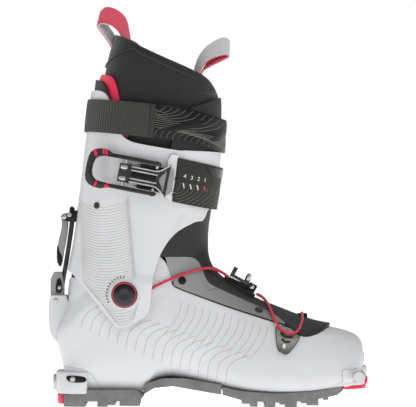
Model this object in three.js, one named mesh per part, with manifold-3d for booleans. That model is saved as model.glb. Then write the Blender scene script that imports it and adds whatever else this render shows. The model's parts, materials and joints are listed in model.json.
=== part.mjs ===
// A ski touring boot for the right foot, in millimetres: +X to the toe, +Z up, -Y is the outer side.
// The origin is on the floor under the middle of the boot.
// Two lofted forms carry the design: footForm is the outside of the lower shell, and cuffForm the
// outside of the cuff. Walls, tongue, panels, straps and liner are layers of those forms, cut to
// their side outlines.
import * as THREE from "three";
import { mergeVertices } from "three/addons/utils/BufferGeometryUtils.js";
import Module from "manifold-3d";

const wasm = await Module();
wasm.setup();

// ---- Driving dimensions -------------------------------------------------------------------------

const CUFF_PIVOT = { x: -73, z: 99 }; // the ankle axis, along Y
const SHELL_WALL = 3.4;
const TOE_WALL_RATIO = 3; // how much thicker the shell is at the very toe
const CUFF_WALL = 2.4;
const LINER_GAP = 1.0; // liner to shell, and liner to cuff
const FOOT_LINER_WALL = 6.5;
const SHAFT_LINER_WALL = 9.5;
const BOARD_THICKNESS = 5;
const FOOTBED_THICKNESS = 4;
const GAP = 0.35; // between pieces that touch
const SHELL_SWEEP = 52.2; // the lower shell stays inside this radius where the cuff turns round it
const SHAFT_SWEEP = 53.4; // the liner's shaft stays outside this radius
const FRONT_SWEEP = 102; // the shin's pieces stay outside this radius in front
const BAR_PIVOT = { x: -131.7, z: 104.2 }; // where the lock bar hinges on its bracket
const BAR_TOP = { x: -119.5, z: 174.5 };
const WALK_LEVER_PIVOT = { x: -127.2, z: 167 };
const CUFF_LEVER_PIVOT = { x: -45.9, y: -58, z: 200.3 }; // of the cuff's buckle
const CUFF_LEVER_RISE = 11.2; // degrees that the cuff's buckle runs uphill to the rear
const CUFF_LEVER_TOE_IN = 7; // degrees that its rear end leans in to the boot
const ROW_SHIFT_Y = 3; // moves the whole boot so that the origin is under its middle
const INSTEP_BUCKLE = { x: 30.5, z: 105.6, slope: 28.7 }; // middle of its base, and the slope down
const LACE_RADIUS = 1.1;
const SIDES = 24; // facets round a form
const HIDDEN_SIDES = 16; // facets round the forms inside the shell

// Sections of the forms, each a closed oval in a plane square to the side view:
// [rear x, rear z, front x, front z, outer half width, inner half width, share of the way to the
//  front where it is widest, squareness at the rear, squareness at the front]
const FOOT_SECTIONS = [
  [138.0, 36, 138.0, 48, 14, 18, 0.5, 2.4, 2.4],
  [136.6, 27, 136.6, 56, 25, 29, 0.48, 2.6, 2.4],
  [132.5, 19, 132.5, 61.6, 33, 36, 0.45, 2.8, 2.4],
  [125, 15.2, 125, 65.3, 38.5, 41, 0.42, 3, 2.4],
  [112, 13.4, 112, 68.8, 44, 45.5, 0.4, 3.2, 2.5],
  [95, 10.4, 95, 72.4, 48.5, 49, 0.38, 3.4, 2.5],
  [78, 8.7, 78, 78.3, 51.5, 51, 0.36, 3.4, 2.4],
  [60, 8.3, 61, 85, 52.5, 50.5, 0.34, 3.4, 2.3],
  [42, 9.2, 45, 91.2, 51, 47.5, 0.33, 3.3, 2.2],
  [24, 11.6, 31, 98.7, 48, 44.5, 0.33, 3.2, 2.1],
  [5, 15.6, 19, 106.4, 44.5, 41.5, 0.34, 3, 2.1],
  [-14, 20.6, 10.5, 112.8, 41.5, 39.5, 0.36, 2.9, 2.1],
  [-33, 24.3, 4.5, 119, 39, 38.5, 0.38, 2.9, 2.1],
  [-48, 20, 1.5, 124.5, 37.5, 37.5, 0.4, 2.9, 2.1],
  [-62, 9, 0, 129, 36.8, 36.8, 0.42, 3, 2.1],
  [-82, 8.2, -1, 133, 36.5, 36.5, 0.42, 3, 2.1],
  [-106, 8.2, -1.5, 137, 36.5, 36.5, 0.42, 3, 2.1],
  [-123, 10.5, -1.7, 141, 36.5, 36.5, 0.42, 2.9, 2.1],
  [-127.5, 22, -1.7, 145, 36.7, 36.7, 0.42, 2.8, 2.1],
  [-129, 36, -1.6, 149, 37, 37, 0.42, 2.7, 2.1],
  [-133, 50, -1.3, 154, 37.2, 37.2, 0.42, 2.6, 2.1],
  [-135.5, 64, -1, 160, 37.2, 37.2, 0.42, 2.5, 2.1],
  [-130.2, 77, -0.6, 166, 37, 37, 0.42, 2.4, 2.1],
  [-125.6, 87.5, 0, 172, 36.8, 36.8, 0.42, 2.4, 2.1],
  [-124.6, 98, 0.6, 179, 36.8, 36.8, 0.42, 2.4, 2.1],
  [-122.6, 114, 1.2, 189, 36.8, 36.8, 0.42, 2.4, 2.1],
  [-117, 134, 2, 200, 36.8, 36.8, 0.42, 2.4, 2.1],
];
const CUFF_SECTIONS = [
  [-129, 55, -22, 55, 43.6, 43.6, 0.5, 2.8, 2.8],
  [-128, 85, -14, 88, 43.8, 43.8, 0.5, 2.8, 2.8],
  [-126.6, 105, -5, 116, 44, 44, 0.5, 2.7, 2.7],
  [-124.8, 120, 0, 140, 44.4, 44.4, 0.5, 2.6, 2.5],
  [-120, 145, 3.5, 158, 45.5, 45.5, 0.5, 2.4, 2.3],
  [-115.8, 177, 7, 181, 48.5, 48, 0.5, 2.3, 2.2],
  [-112, 205, 11, 208, 51.5, 50.5, 0.5, 2.3, 2.2],
  [-108, 240, 13.5, 233, 53.5, 52, 0.5, 2.3, 2.2],
  [-104, 276, 15, 262, 54.5, 53, 0.5, 2.3, 2.2],
  [-101, 300, 13.5, 290, 54.5, 53, 0.5, 2.3, 2.2],
];
const LINER_SECTIONS = [
  [-116, 120, -4, 128, 38, 38, 0.5, 2.4, 2.2],
  [-114, 145, -1, 150, 40, 40, 0.5, 2.4, 2.2],
  [-110, 177, 1, 181, 43, 42.5, 0.5, 2.3, 2.2],
  [-106, 205, 4.6, 208, 45.5, 44.5, 0.5, 2.3, 2.2],
  [-101.5, 240, 7, 233, 47, 46, 0.5, 2.3, 2.2],
  [-97, 270, 8.6, 262, 47.5, 46.5, 0.5, 2.3, 2.2],
  [-92, 291, 9, 283, 47, 46, 0.5, 2.3, 2.2],
  [-87.5, 312, 5, 300, 45.5, 45, 0.5, 2.3, 2.2],
  [-82, 330, 0, 318, 44, 43, 0.5, 2.3, 2.2],
];

// Side outlines, x and z.
const CUFF_TOP_EDGE = [[8, 224.2], [-12, 224], [-27, 225.5], [-56, 230.3], [-69, 234], [-77, 241],
  [-83, 255], [-87, 268], [-91, 275.5], [-97, 278.5], [-104, 278]];
const CUFF_LOWER_EDGE = [[-124.4, 120.2], [-116.6, 114], [-81.8, 72.1], [-77.2, 69.6], [-71.5, 69.9],
  [-52, 83.7], [-49, 104.4], [-47, 118.4], [-40.1, 136.9], [-28.5, 152.5], [-12.2, 162], [-4, 164.2],
  [0, 172.9]];
const PANEL_LOWER_EDGE = [[-40, 137.8], [-31.2, 110.6], [-27.8, 105.2], [-4, 95.9], [22.7, 86.3],
  [47.8, 78.2], [75.8, 69.3]];
const PANEL_UPPER_EDGE = [[75.8, 69.3], [58.9, 84.1], [37.4, 94.4], [18.2, 102.5], [2.7, 109.2],
  [0.6, 114], [-2, 127.6], [-4.6, 131], [-12.8, 133.5], [-33.4, 136.7]];
const THROAT_EDGE = [[-47, 142], [-38, 128], [-25, 112.5], [-2, 103.5], [24, 94], [49, 86], [70, 79],
  [90, 76]];
const HOOK_OUTLINE = [[59.8, 68.8], [61.2, 53.4], [64.6, 49.4], [70.2, 48.6], [79.4, 60.2], [78.6, 64],
  [72, 69.4], [64, 71]];

// ---- Solids and meshes ---------------------------------------------------------------------------

const radians = THREE.MathUtils.degToRad;

function solidOf(geometry) {
  const bare = new THREE.BufferGeometry();
  bare.setAttribute("position", geometry.getAttribute("position"));
  if (geometry.index) bare.setIndex(geometry.index);
  const merged = mergeVertices(bare, 1e-4);
  return new wasm.Manifold(new wasm.Mesh({
    numProp: 3,
    vertProperties: new Float32Array(merged.getAttribute("position").array),
    triVerts: new Uint32Array(merged.index.array),
  }));
}

function geometryOf(solid) {
  const made = solid.getMesh();
  const places = new Float32Array(made.numVert * 3);
  for (let i = 0; i < made.numVert; i++) {
    const first = i * made.numProp;
    places.set(made.vertProperties.subarray(first, first + 3), i * 3);
  }
  const geometry = new THREE.BufferGeometry();
  geometry.setAttribute("position", new THREE.BufferAttribute(places, 3));
  geometry.setIndex(new THREE.BufferAttribute(made.triVerts, 1));
  geometry.computeVertexNormals();
  return geometry;
}

// The largest body of a solid, so that no loose sliver of a cut stays on it.
function largestBody(solid) {
  return solid.decompose().reduce((a, b) => (a.volume() > b.volume() ? a : b));
}

const boot = new THREE.Group();
boot.position.y = ROW_SHIFT_Y;
const groups = {};
for (const name of ["lower", "cuff", "lock", "walkLever", "cuffLever", "catchLink", "instepLever"]) {
  groups[name] = new THREE.Group();
  boot.add(groups[name]);
}

function addPiece(group, name, solid, material) {
  const mesh = new THREE.Mesh(geometryOf(largestBody(solid)), material);
  mesh.name = name;
  groups[group].add(mesh);
  return mesh;
}

// A form's section as points: grow moves its skin outwards.
function sectionPoints(section, grow, sides) {
  const [rearX, rearZ, frontX, frontZ, outer, inner, widest, rearSquare, frontSquare] = section;
  const length = Math.hypot(frontX - rearX, frontZ - rearZ);
  const along = [(frontX - rearX) / length, (frontZ - rearZ) / length];
  const points = [];
  for (let i = 0; i < sides; i++) {
    const angle = (2 * Math.PI * i) / sides;
    const forward = -Math.cos(angle);
    const sideways = Math.sin(angle);
    const power = 2 / (forward < 0 ? rearSquare : frontSquare);
    const reach = Math.abs(forward) ** power;
    const share = forward < 0 ? widest * (1 - reach) : widest + (1 - widest) * reach;
    const distance = share * (length + 2 * grow) - grow;
    const half = (sideways < 0 ? outer : inner) + grow;
    points.push([
      rearX + along[0] * distance,
      Math.sign(sideways) * Math.abs(sideways) ** power * half,
      rearZ + along[1] * distance,
    ]);
  }
  return points;
}

// A closed body through the sections' points.
function loft(sections, grow, sides = SIDES) {
  const rings = sections.map((section) => sectionPoints(section, grow, sides));
  const positions = rings.flat(2);
  const index = [];
  const middle = (ring) => [0, 1, 2].map((k) => ring.reduce((sum, p) => sum + p[k], 0) / sides);
  const firstMiddle = rings.length * sides;
  positions.push(...middle(rings[0]), ...middle(rings.at(-1)));
  for (let i = 0; i < sides; i++) {
    const next = (i + 1) % sides;
    for (let ring = 0; ring < rings.length - 1; ring++) {
      const a = ring * sides + i;
      const b = ring * sides + next;
      index.push(a, b, a + sides, b, b + sides, a + sides);
    }
    const last = (rings.length - 1) * sides;
    index.push(firstMiddle, next, i, firstMiddle + 1, last + i, last + next);
  }
  const geometry = new THREE.BufferGeometry();
  geometry.setAttribute("position", new THREE.Float32BufferAttribute(positions, 3));
  geometry.setIndex(index);
  const solid = solidOf(geometry);
  if (solid.volume() > 0) return solid;
  for (let i = 0; i < index.length; i += 3) [index[i], index[i + 1]] = [index[i + 1], index[i]];
  geometry.setIndex(index);
  return solidOf(geometry);
}

// The foot's form. Inside it, the toe's end moves back by the same amount as the skin.
function footForm(grow, sides = SIDES) {
  const end = 138;
  return loft(FOOT_SECTIONS.map((section) => {
    const moved = [...section];
    const nearness = Math.max(0, (section[0] - 95) / (end - 95));
    const endWall = grow < 0 ? TOE_WALL_RATIO * grow : grow;
    moved[0] += endWall * nearness;
    moved[2] += endWall * nearness;
    return moved;
  }), grow, sides);
}

const cuffForm = (grow) => loft(CUFF_SECTIONS, grow);
const hiddenForm = (grow) => footForm(grow, HIDDEN_SIDES);
const linerForm = (grow) => loft(LINER_SECTIONS, grow);

// A prism square to the side view, from its outline in x and z, between two values of y.
function sidePrism(outline, low = -90, high = 90) {
  const shape = new THREE.Shape(outline.map(([x, z]) => new THREE.Vector2(x, z)));
  const geometry = new THREE.ExtrudeGeometry(shape, { depth: high - low, bevelEnabled: false });
  geometry.rotateX(Math.PI / 2);
  geometry.translate(0, high, 0);
  return solidOf(geometry);
}

// A prism square to the plan view, from its outline in x and y, between two heights.
function planPrism(shape, low, high) {
  const geometry = new THREE.ExtrudeGeometry(shape, {
    depth: high - low, bevelEnabled: false, curveSegments: 6,
  });
  geometry.translate(0, 0, low);
  return solidOf(geometry);
}

function box(x, y, z) {
  const geometry = new THREE.BoxGeometry(x[1] - x[0], y[1] - y[0], z[1] - z[0]);
  geometry.translate((x[0] + x[1]) / 2, (y[0] + y[1]) / 2, (z[0] + z[1]) / 2);
  return solidOf(geometry);
}

// A cylinder along Y.
function pin(radius, x, z, low, high, facets = 16) {
  const geometry = new THREE.CylinderGeometry(radius, radius, high - low, facets);
  geometry.translate(x, (low + high) / 2, z);
  return solidOf(geometry);
}

// A tube along points, as one closed body.
function tube(points, radius, steps, facets = 8) {
  const curve = new THREE.CatmullRomCurve3(points.map((p) => new THREE.Vector3(...p)));
  const section = new THREE.Shape();
  for (let i = 0; i < facets; i++) {
    const angle = (2 * Math.PI * i) / facets;
    const at = [radius * Math.cos(angle), radius * Math.sin(angle)];
    if (i) section.lineTo(...at);
    else section.moveTo(...at);
  }
  return solidOf(new THREE.ExtrudeGeometry(section, { steps, extrudePath: curve }));
}

// A solid moved as a THREE object would be.
function placed(solid, { at = [0, 0, 0], turn = [0, 0, 0] }) {
  const matrix = new THREE.Matrix4().makeRotationFromEuler(new THREE.Euler(...turn.map(radians)));
  matrix.setPosition(...at);
  return solid.transform(matrix.elements);
}

const layer = (form, outside, inside) => form(outside).subtract(form(inside));
const arc = (radius, from, to, steps) => Array.from({ length: steps + 1 }, (_, i) => {
  const angle = radians(from + ((to - from) * i) / steps);
  return [CUFF_PIVOT.x + radius * Math.cos(angle), CUFF_PIVOT.z + radius * Math.sin(angle)];
});
const OUTER_SIDE = [-90, 0];
const INNER_SIDE = [0, 90];

// ---- Materials ------------------------------------------------------------------------------------

const finish = (color, roughness, metalness = 0) =>
  new THREE.MeshStandardMaterial({ color, roughness, metalness });
const white = finish("#d9dadc", 0.35);
const grey = finish("#8b8b8b", 0.55);
const darkGrey = finish("#4a4a4a", 0.5);
const black = finish("#1c1c1d", 0.5);
const red = finish("#e2294b", 0.4);
const soleRubber = finish("#6f6f70", 0.8);
const steel = finish("#b9babd", 0.25, 0.9);
const gunmetal = finish("#55565a", 0.35, 0.8);
const linerCloth = finish("#242425", 0.9);
const webbing = finish("#4b4a45", 0.85);

// ---- Lower shell, its inside and its sole ----------------------------------------------------------

// The rim behind the ankle, as angles and radii about the pivot: low enough for the cuff's corners.
const SHELL_RIM = [[190, SHELL_SWEEP], [175, SHELL_SWEEP], [162, 49], [148, 42], [130, 38.6], [105, 38.8],
  [85, 42], [70, 46.5], [59, 50.3]];
const atPivot = (radius, angle) => arc(radius, angle, angle, 1)[0];
const THROAT_OPENING = [...SHELL_RIM.map(([angle, radius]) => atPivot(radius, angle)),
  ...THROAT_EDGE.slice(1), [90, 260],
  [-200, 260], [-200, 90]];

// A rounded end of a ledge in plan: from the root, out to the end's x, with half a width.
function ledge(rootX, endX, halfWidth, roundness, low, high) {
  const shape = new THREE.Shape();
  const steps = 18;
  shape.moveTo(rootX, -halfWidth);
  for (let i = 0; i <= steps; i++) {
    const angle = (Math.PI * i) / steps - Math.PI / 2;
    const reach = Math.cos(angle) ** (2 / roundness);
    const side = Math.sign(Math.sin(angle)) * Math.abs(Math.sin(angle)) ** (2 / roundness);
    shape.lineTo(rootX + (endX - rootX) * reach, halfWidth * side);
  }
  shape.closePath();
  const solid = planPrism(shape, low, high);
  return endX > rootX ? solid : planPrism(new THREE.Shape(shape.getPoints().reverse()), low, high);
}

const HEEL_LEDGE = { root: -112, end: -135, halfWidth: 34, low: 11, high: 30.5 };
const TOE_LEDGE = { root: 112, end: 141.4, halfWidth: 33, low: 19, high: 35 };
const HEEL_POCKET = { from: [-126, -138], y: 13, z: [14, 27] };

function heelLedge(grow) {
  const { root, end, halfWidth, low, high } = HEEL_LEDGE;
  return ledge(root, end - grow, halfWidth + grow, 3, low - grow, high + grow);
}

function toeLedge(grow) {
  const { root, end, halfWidth, low, high } = TOE_LEDGE;
  return ledge(root, end + grow, halfWidth + grow, 2.6, low - grow, high + grow);
}

const toeFittingHole = (grow) => pin(4.4 + grow, 132.5, 26.5, -40, 40);
const heelPocket = (grow) => box(
  [HEEL_POCKET.from[1] - grow, HEEL_POCKET.from[0] + grow],
  [-HEEL_POCKET.y - grow, HEEL_POCKET.y + grow],
  [HEEL_POCKET.z[0] - grow, HEEL_POCKET.z[1] + grow],
);
const pivotHole = (grow) => pin(5 + grow, CUFF_PIVOT.x, CUFF_PIVOT.z, -60, 60);

const RIVETS = { rear: [-23.4, 110], front: [45, 83.4] };
const rivetNeedle = (grow, [x, z], side) => (side < 0
  ? pin(2.2 + grow, x, z, -60, -10, 12) : pin(2.2 + grow, x, z, 10, 60, 12));
const rivetHoles = (side) => rivetNeedle(GAP, RIVETS.rear, side).add(rivetNeedle(GAP, RIVETS.front, side));

// The lock bar's bracket stands in a raised seat up the back of the heel.
const SEAT = { low: 56, high: 98, halfWidth: 13 };
const BRACKET = { outside: 11.4, inside: 9, low: 90, high: 118, rear: -139.6, front: -127.6 };

function bracketSeat() {
  const { low, high, halfWidth } = SEAT;
  const side = sidePrism([[-120, low], [-136, low + 2], [-140.6, 68], [-141, 80], [-140.4, high - 2],
    [-138.8, high], [-127, high], [-124, 90]], -halfWidth, halfWidth);
  return side.subtract(footForm(-SHELL_WALL + 0.4))
    .subtract(box([-160, -128], [-BRACKET.inside, BRACKET.inside], [88, 130]))
    .subtract(sidePrism(THROAT_OPENING));
}

function lowerShell() {
  return footForm(0).add(heelLedge(0)).add(toeLedge(0))
    .subtract(hiddenForm(-SHELL_WALL))
    .subtract(sidePrism(THROAT_OPENING))
    .subtract(toeFittingHole(GAP))
    .subtract(heelPocket(GAP))
    .subtract(pivotHole(GAP))
    .subtract(rivetHoles(-1))
    .subtract(rivetHoles(1))
    .add(bracketSeat());
}

const INSIDE = SHELL_WALL + GAP;
const boardTop = (grow) => sidePrism([[-128, 0], [-128, 34 + grow], [-60, 34 + grow], [-33, 33 + grow],
  [0, 26 + grow], [40, 18 + grow], [90, 18 + grow], [136, 26 + grow], [136, 0]]);

function bootBoard() {
  return hiddenForm(-INSIDE - GAP).intersect(boardTop(0));
}

function footbed() {
  return hiddenForm(-INSIDE - FOOT_LINER_WALL - GAP).subtract(boardTop(FOOT_LINER_WALL))
    .intersect(boardTop(FOOT_LINER_WALL + FOOTBED_THICKNESS));
}

const footLinerTop = [...arc(SHELL_SWEEP - 2.4, 200, 31, 26), [8, 146.5], [100, 190], [180, 60],
  [180, -20], [-180, -20], [-180, 80]];

function footLiner() {
  return hiddenForm(-INSIDE - LINER_GAP).subtract(boardTop(GAP))
    .subtract(hiddenForm(-INSIDE - FOOT_LINER_WALL).subtract(boardTop(FOOT_LINER_WALL)))
    .intersect(sidePrism(footLinerTop));
}

// The sole's plan, as half widths of the outer and inner side along X.
const SOLE_OUTER = [[-134, 12], [-131, 24], [-122, 31.5], [-100, 34], [-70, 33], [-30, 34], [0, 38],
  [30, 44], [60, 46.5], [90, 42.5], [112, 35], [124, 27], [131, 16]];
const SOLE_INNER = [[-134, 12], [-131, 24], [-122, 31.5], [-100, 34], [-70, 33], [-30, 33], [0, 35],
  [30, 41], [60, 45], [90, 43], [112, 37], [124, 29], [131, 17]];

function solePlan(low, high) {
  const shape = new THREE.Shape();
  shape.moveTo(SOLE_OUTER[0][0], -SOLE_OUTER[0][1]);
  shape.splineThru(SOLE_OUTER.slice(1).map(([x, y]) => new THREE.Vector2(x, -y)));
  shape.lineTo(131, 17);
  shape.splineThru(SOLE_INNER.slice(0, -1).reverse().map(([x, y]) => new THREE.Vector2(x, y)));
  return planPrism(shape, low, high);
}

// A lug is [start, end, bottom]: a block across the sole, cut by grooves along it.
function outsole(profile, lugs, grooves) {
  let solid = sidePrism(profile);
  for (const [start, end, bottom] of lugs) solid = solid.add(box([start, end], [-60, 60], [bottom, 9]));
  solid = solid.intersect(solePlan(0, 40));
  for (const y of grooves) solid = solid.subtract(box([-140, 140], [y - 3, y + 3], [-1, 3]));
  return solid.subtract(footForm(GAP)).subtract(heelLedge(GAP)).subtract(toeLedge(GAP));
}

const HEEL_LUGS = [[-127, -108, 0], [-97, -88.6, 0], [-88.8, -81.5, 1.6], [-77.6, -60, 0.8]];
const TOE_LUGS = [[30, 37, 3.5], [37.2, 43.6, 1], [50, 59, 0], [63, 68, 3], [68.2, 78, 0],
  [82, 86.6, 4], [87, 97, 2], [101.5, 106, 6.5], [106.2, 115, 6]];

function heelOutsole() {
  const profile = [[-127, 4.5], [-60, 5], [-56, 10], [-63, 15], [-127, 15]];
  return outsole(profile, HEEL_LUGS, [-14, 14]);
}

function archOutsole() {
  const profile = [[-55.6, 11.5], [-47, 16.5], [-31, 18.2], [0, 13], [12, 11.2], [12, 20], [-20, 25],
    [-40, 25], [-55.6, 20]];
  return outsole(profile, [], []);
}

function forefootOutsole() {
  const profile = [[13, 11], [31, 6.2], [61, 4.6], [90, 6], [114, 10.5], [119, 14.5], [119, 18], [90, 14],
    [60, 12.5], [30, 14.5], [13, 18]];
  return outsole(profile, TOE_LUGS, [-20, 0, 20]);
}

// The red bumpers under the heel and round the toe.
function heelBumper() {
  return ledge(-118, -133.6, 30, 3, 2.4, 10.6).subtract(box([-127 - GAP, 0], [-60, 60], [0, 20]))
    .subtract(footForm(GAP));
}

function toeBumper() {
  return ledge(112, 140.8, 33.5, 2.6, 15.5, 34.6).subtract(toeLedge(GAP)).subtract(footForm(GAP))
    .subtract(box([100, 119.4], [-60, 60], [0, 40]));
}

function toeFitting() {
  const bar = pin(4.4, 132.5, 26.5, -31, 31);
  const sockets = pin(2.6, 132.5, 26.5, -40, -27, 12).add(pin(2.6, 132.5, 26.5, 27, 40, 12));
  return bar.subtract(sockets);
}

function heelFitting() {
  const plate = box([-137, -126], [-HEEL_POCKET.y, HEEL_POCKET.y], HEEL_POCKET.z);
  const slots = box([-140, -132], [-9.5, -5.5], [10, 23]).add(box([-140, -132], [5.5, 9.5], [10, 23]));
  return plate.subtract(slots);
}

function buildLower() {
  addPiece("lower", "lower_shell", lowerShell(), white);
  addPiece("lower", "boot_board", bootBoard(), darkGrey);
  addPiece("lower", "footbed", footbed(), grey);
  addPiece("lower", "liner_foot", footLiner(), linerCloth);
  addPiece("lower", "outsole_heel", heelOutsole(), soleRubber);
  addPiece("lower", "outsole_arch", archOutsole(), soleRubber);
  addPiece("lower", "outsole_forefoot", forefootOutsole(), soleRubber);
  addPiece("lower", "heel_bumper", heelBumper(), red);
  addPiece("lower", "toe_bumper", toeBumper(), red);
  addPiece("lower", "toe_fitting", toeFitting(), steel);
  addPiece("lower", "heel_fitting", heelFitting(), steel);
}

// ---- Tongue, panels and lacing on the lower shell --------------------------------------------------

const PANEL_THICKNESS = 1.8;
const TONGUE_PROUD = 3;
const panelSkin = PANEL_THICKNESS + GAP;

function throatPanel(side) {
  const outline = sidePrism([...PANEL_LOWER_EDGE, ...PANEL_UPPER_EDGE.slice(1)], ...side);
  return layer(footForm, panelSkin, GAP).intersect(outline);
}

function instepTongue() {
  const top = PANEL_UPPER_EDGE.slice(0, 9).map(([x, z]) => [x + 0.3, z + 0.6]);
  const region = sidePrism([...top, [-14, 134], [16, 151.3], [60, 130], [120, 90], [107, 72], [104, 69],
    [86, 64.5], [78, 67]]);
  const kept = footForm(GAP).subtract(sidePrism(THROAT_OPENING.map(([x, z]) => [x + 0.2, z + 0.6])));
  return layer(footForm, TONGUE_PROUD, -2.2).intersect(region).subtract(kept);
}

// How far out a form's side reaches at one place in the side view; side is -1 or 1.
function reach(solid, x, z, side) {
  const needle = side < 0 ? pin(0.4, x, z, -90, 0, 6) : pin(0.4, x, z, 0, 90, 6);
  const found = solid.intersect(needle).boundingBox();
  return side < 0 ? found.min[1] : found.max[1];
}

function panelRivet(place, side) {
  return layer(footForm, panelSkin + 0.9, -2).intersect(rivetNeedle(0, place, side))
    .add(layer(footForm, panelSkin + 1.5, panelSkin + GAP).intersect(rivetNeedle(1.6, place, side)));
}

function cableGuide(side) {
  const outline = sidePrism(HOOK_OUTLINE, ...side);
  const panelZone = sidePrism([...PANEL_LOWER_EDGE, [75.8, 120], [-40, 150]], ...side);
  return layer(footForm, panelSkin + 3.2, GAP).intersect(outline)
    .subtract(footForm(panelSkin + GAP).intersect(panelZone))
    .subtract(laceRun(LACE_FRONT, LACE_FRONT_START, LACE_FRONT_END, side === OUTER_SIDE ? -1 : 1, GAP));
}

function laceEyelet() {
  const block = box([80, 88.5], [-6, 6], [60, 81.2]).subtract(footForm(TONGUE_PROUD + GAP));
  return block.intersect(footForm(TONGUE_PROUD + 4.4));
}

// The lace's route in the side view, with how far it stands off the foot's form, and the ends that
// leave the form for the buckle, as x, y, z.
const LACE_REAR = [[-58, 99, 1.8], [-49, 104.5, 2], [-38, 110, 2.8], [-28, 114.2, 3.6], [-19, 117.6, 3.8],
  [-9, 120.3, 4], [-1, 121.8, 4.6], [5.5, 121, 6.4]];
const LACE_REAR_END = [[12.2, 9.6, 117.8], [18.6, 8, 113.5]];
const LACE_FRONT_START = [[43.8, 8, 98.2], [48, 10.8, 96]];
const LACE_FRONT = [[52, 92, 4.8], [54.9, 86.4, 4.6], [58, 79, 4], [62, 71.6, 4], [67, 66.8, 4],
  [73, 65.2, 4], [78, 67, 4.6], [80.8, 70.6, 4.9], [82.4, 74.4, 5], [83.3, 77.4, 5.1]];
const LACE_FRONT_END = [[83.9, 14, 80.2], [84.1, 7.2, 81.4]];

function laceRun(route, before, after, side, grow = 0) {
  const points = route.map(([x, z, off]) => [x, reach(footForm(off), x, z, side), z]);
  const ends = [before, after].map((list) => list.map(([x, y, z]) => [x, y * side, z]));
  return tube([...ends[0], ...points, ...ends[1]], LACE_RADIUS + grow, route.length * 3);
}

// ---- The instep's buckle: a block on the tongue, its rack, and a lever that folds flat --------------

const INSTEP_TILT = [0, INSTEP_BUCKLE.slope, 0];
const instepPlace = { at: [INSTEP_BUCKLE.x, 0, INSTEP_BUCKLE.z], turn: INSTEP_TILT };
const INSTEP_HINGE = { x: 8.5, z: 3.4 };

function instepBase() {
  const block = box([-13, 14], [-11, 11], [-8, -1]).add(box([-13, -12 - GAP], [-11, 11], [-2, 2.4]));
  const cheeks = box([5, 12], [-11, -8], [-1.2, 6.4]).add(box([5, 12], [8, 11], [-1.2, 6.4]))
    .subtract(pin(1.6 + GAP, INSTEP_HINGE.x, INSTEP_HINGE.z, -20, 20, 12));
  return placed(block.add(cheeks), instepPlace).subtract(footForm(TONGUE_PROUD + GAP));
}

function instepRack() {
  let rack = box([-12, 4], [-4, 4], [-1 + GAP, 1]);
  for (let x = -11; x < 3; x += 2.6) rack = rack.add(box([x, x + 1.3], [-4, 4], [0.9, 2.2]));
  return placed(rack, instepPlace);
}

function instepPin() {
  return placed(pin(1.6, INSTEP_HINGE.x, INSTEP_HINGE.z, -11, 11, 12), instepPlace);
}

function instepLever() {
  const { x, z } = INSTEP_HINGE;
  const hub = box([x - 3.1, x + 3.1], [-7.6, 7.6], [z - 2.6, z + 2.6])
    .subtract(pin(1.6 + GAP, x, z, -20, 20, 12));
  const arm = (y) => box([-11, x - 2], [y, y + 2.6], [z - 0.6, z + 2]);
  const bar = box([-14, -10.6], [-7.6, 7.6], [z - 0.6, z + 8.5]);
  return placed(hub.add(arm(-7.6)).add(arm(5)).add(bar), instepPlace);
}

function buildInstep() {
  for (const [word, side, hand] of [["lateral", OUTER_SIDE, -1], ["medial", INNER_SIDE, 1]]) {
    addPiece("lower", `throat_panel_${word}`, throatPanel(side).subtract(rivetHoles(hand)), grey);
    for (const [end, place] of Object.entries(RIVETS)) {
      addPiece("lower", `panel_rivet_${word}_${end}`, panelRivet(place, hand), gunmetal);
    }
    addPiece("lower", `cable_guide_${word}`, cableGuide(side), steel);
    const rear = laceRun(LACE_REAR, [], LACE_REAR_END, hand);
    const front = laceRun(LACE_FRONT, LACE_FRONT_START, LACE_FRONT_END, hand);
    addPiece("lower", `instep_cable_${word}_rear`, rear, red);
    addPiece("lower", `instep_cable_${word}_front`, front, red);
  }
  addPiece("lower", "tongue_instep", instepTongue(), darkGrey);
  addPiece("lower", "lace_eyelet", laceEyelet(), black);
  addPiece("lower", "instep_buckle_base", instepBase(), black);
  addPiece("lower", "instep_buckle_rack", instepRack(), darkGrey);
  addPiece("lower", "instep_buckle_pin", instepPin(), steel);
  addPiece("instepLever", "instep_buckle_lever", instepLever(), gunmetal);
}

// ---- Cuff, with what turns with it -----------------------------------------------------------------

const SPINE_SLOT = { halfWidth: 9.2, low: 118, high: 203 };
const CUFF_OUTLINE = [...CUFF_TOP_EDGE, [-112, 280], [-140, 200], [-140, 121], ...CUFF_LOWER_EDGE,
  [8, 178], [30, 200], [30, 224.2]];
const FRONT_SLOT_HALF = 10;

function cuffShell() {
  return layer(cuffForm, 0, -CUFF_WALL).intersect(sidePrism(CUFF_OUTLINE))
    .subtract(box([-40, 60], [-FRONT_SLOT_HALF, FRONT_SLOT_HALF], [60, 320]))
    .subtract(box([-160, -60], [-SPINE_SLOT.halfWidth, SPINE_SLOT.halfWidth],
      [SPINE_SLOT.low - 20, SPINE_SLOT.high]))
    .subtract(pin(5 + GAP, CUFF_PIVOT.x, CUFF_PIVOT.z, -60, 60))
    .subtract(pin(1.7, -97.5, 177, -70, 0, 10));
}

function cuffScrew() {
  return layer(cuffForm, 0.9, GAP).intersect(pin(2.9, -97.5, 177, -70, 0, 14))
    .add(layer(cuffForm, 0.9, -CUFF_WALL - 0.4).intersect(pin(1.35, -97.5, 177, -70, 0, 10)));
}

const insideCuff = -CUFF_WALL - GAP;

function rearSpoiler() {
  const outline = [[-80, 262], [-88, 270], [-96, 287.5], [-104.4, 285], [-108, 250], [-95, 240]];
  return layer(cuffForm, insideCuff, insideCuff - 2.2).intersect(sidePrism(outline));
}

function innerSpoiler() {
  const outline = [[-70, 238], [-76, 262], [-84, 289.5], [-95.4, 290], [-100, 262], [-92, 232]];
  return layer(cuffForm, insideCuff - 2.5, insideCuff - 4).intersect(sidePrism(outline))
    .subtract(linerForm(GAP));
}

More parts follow.
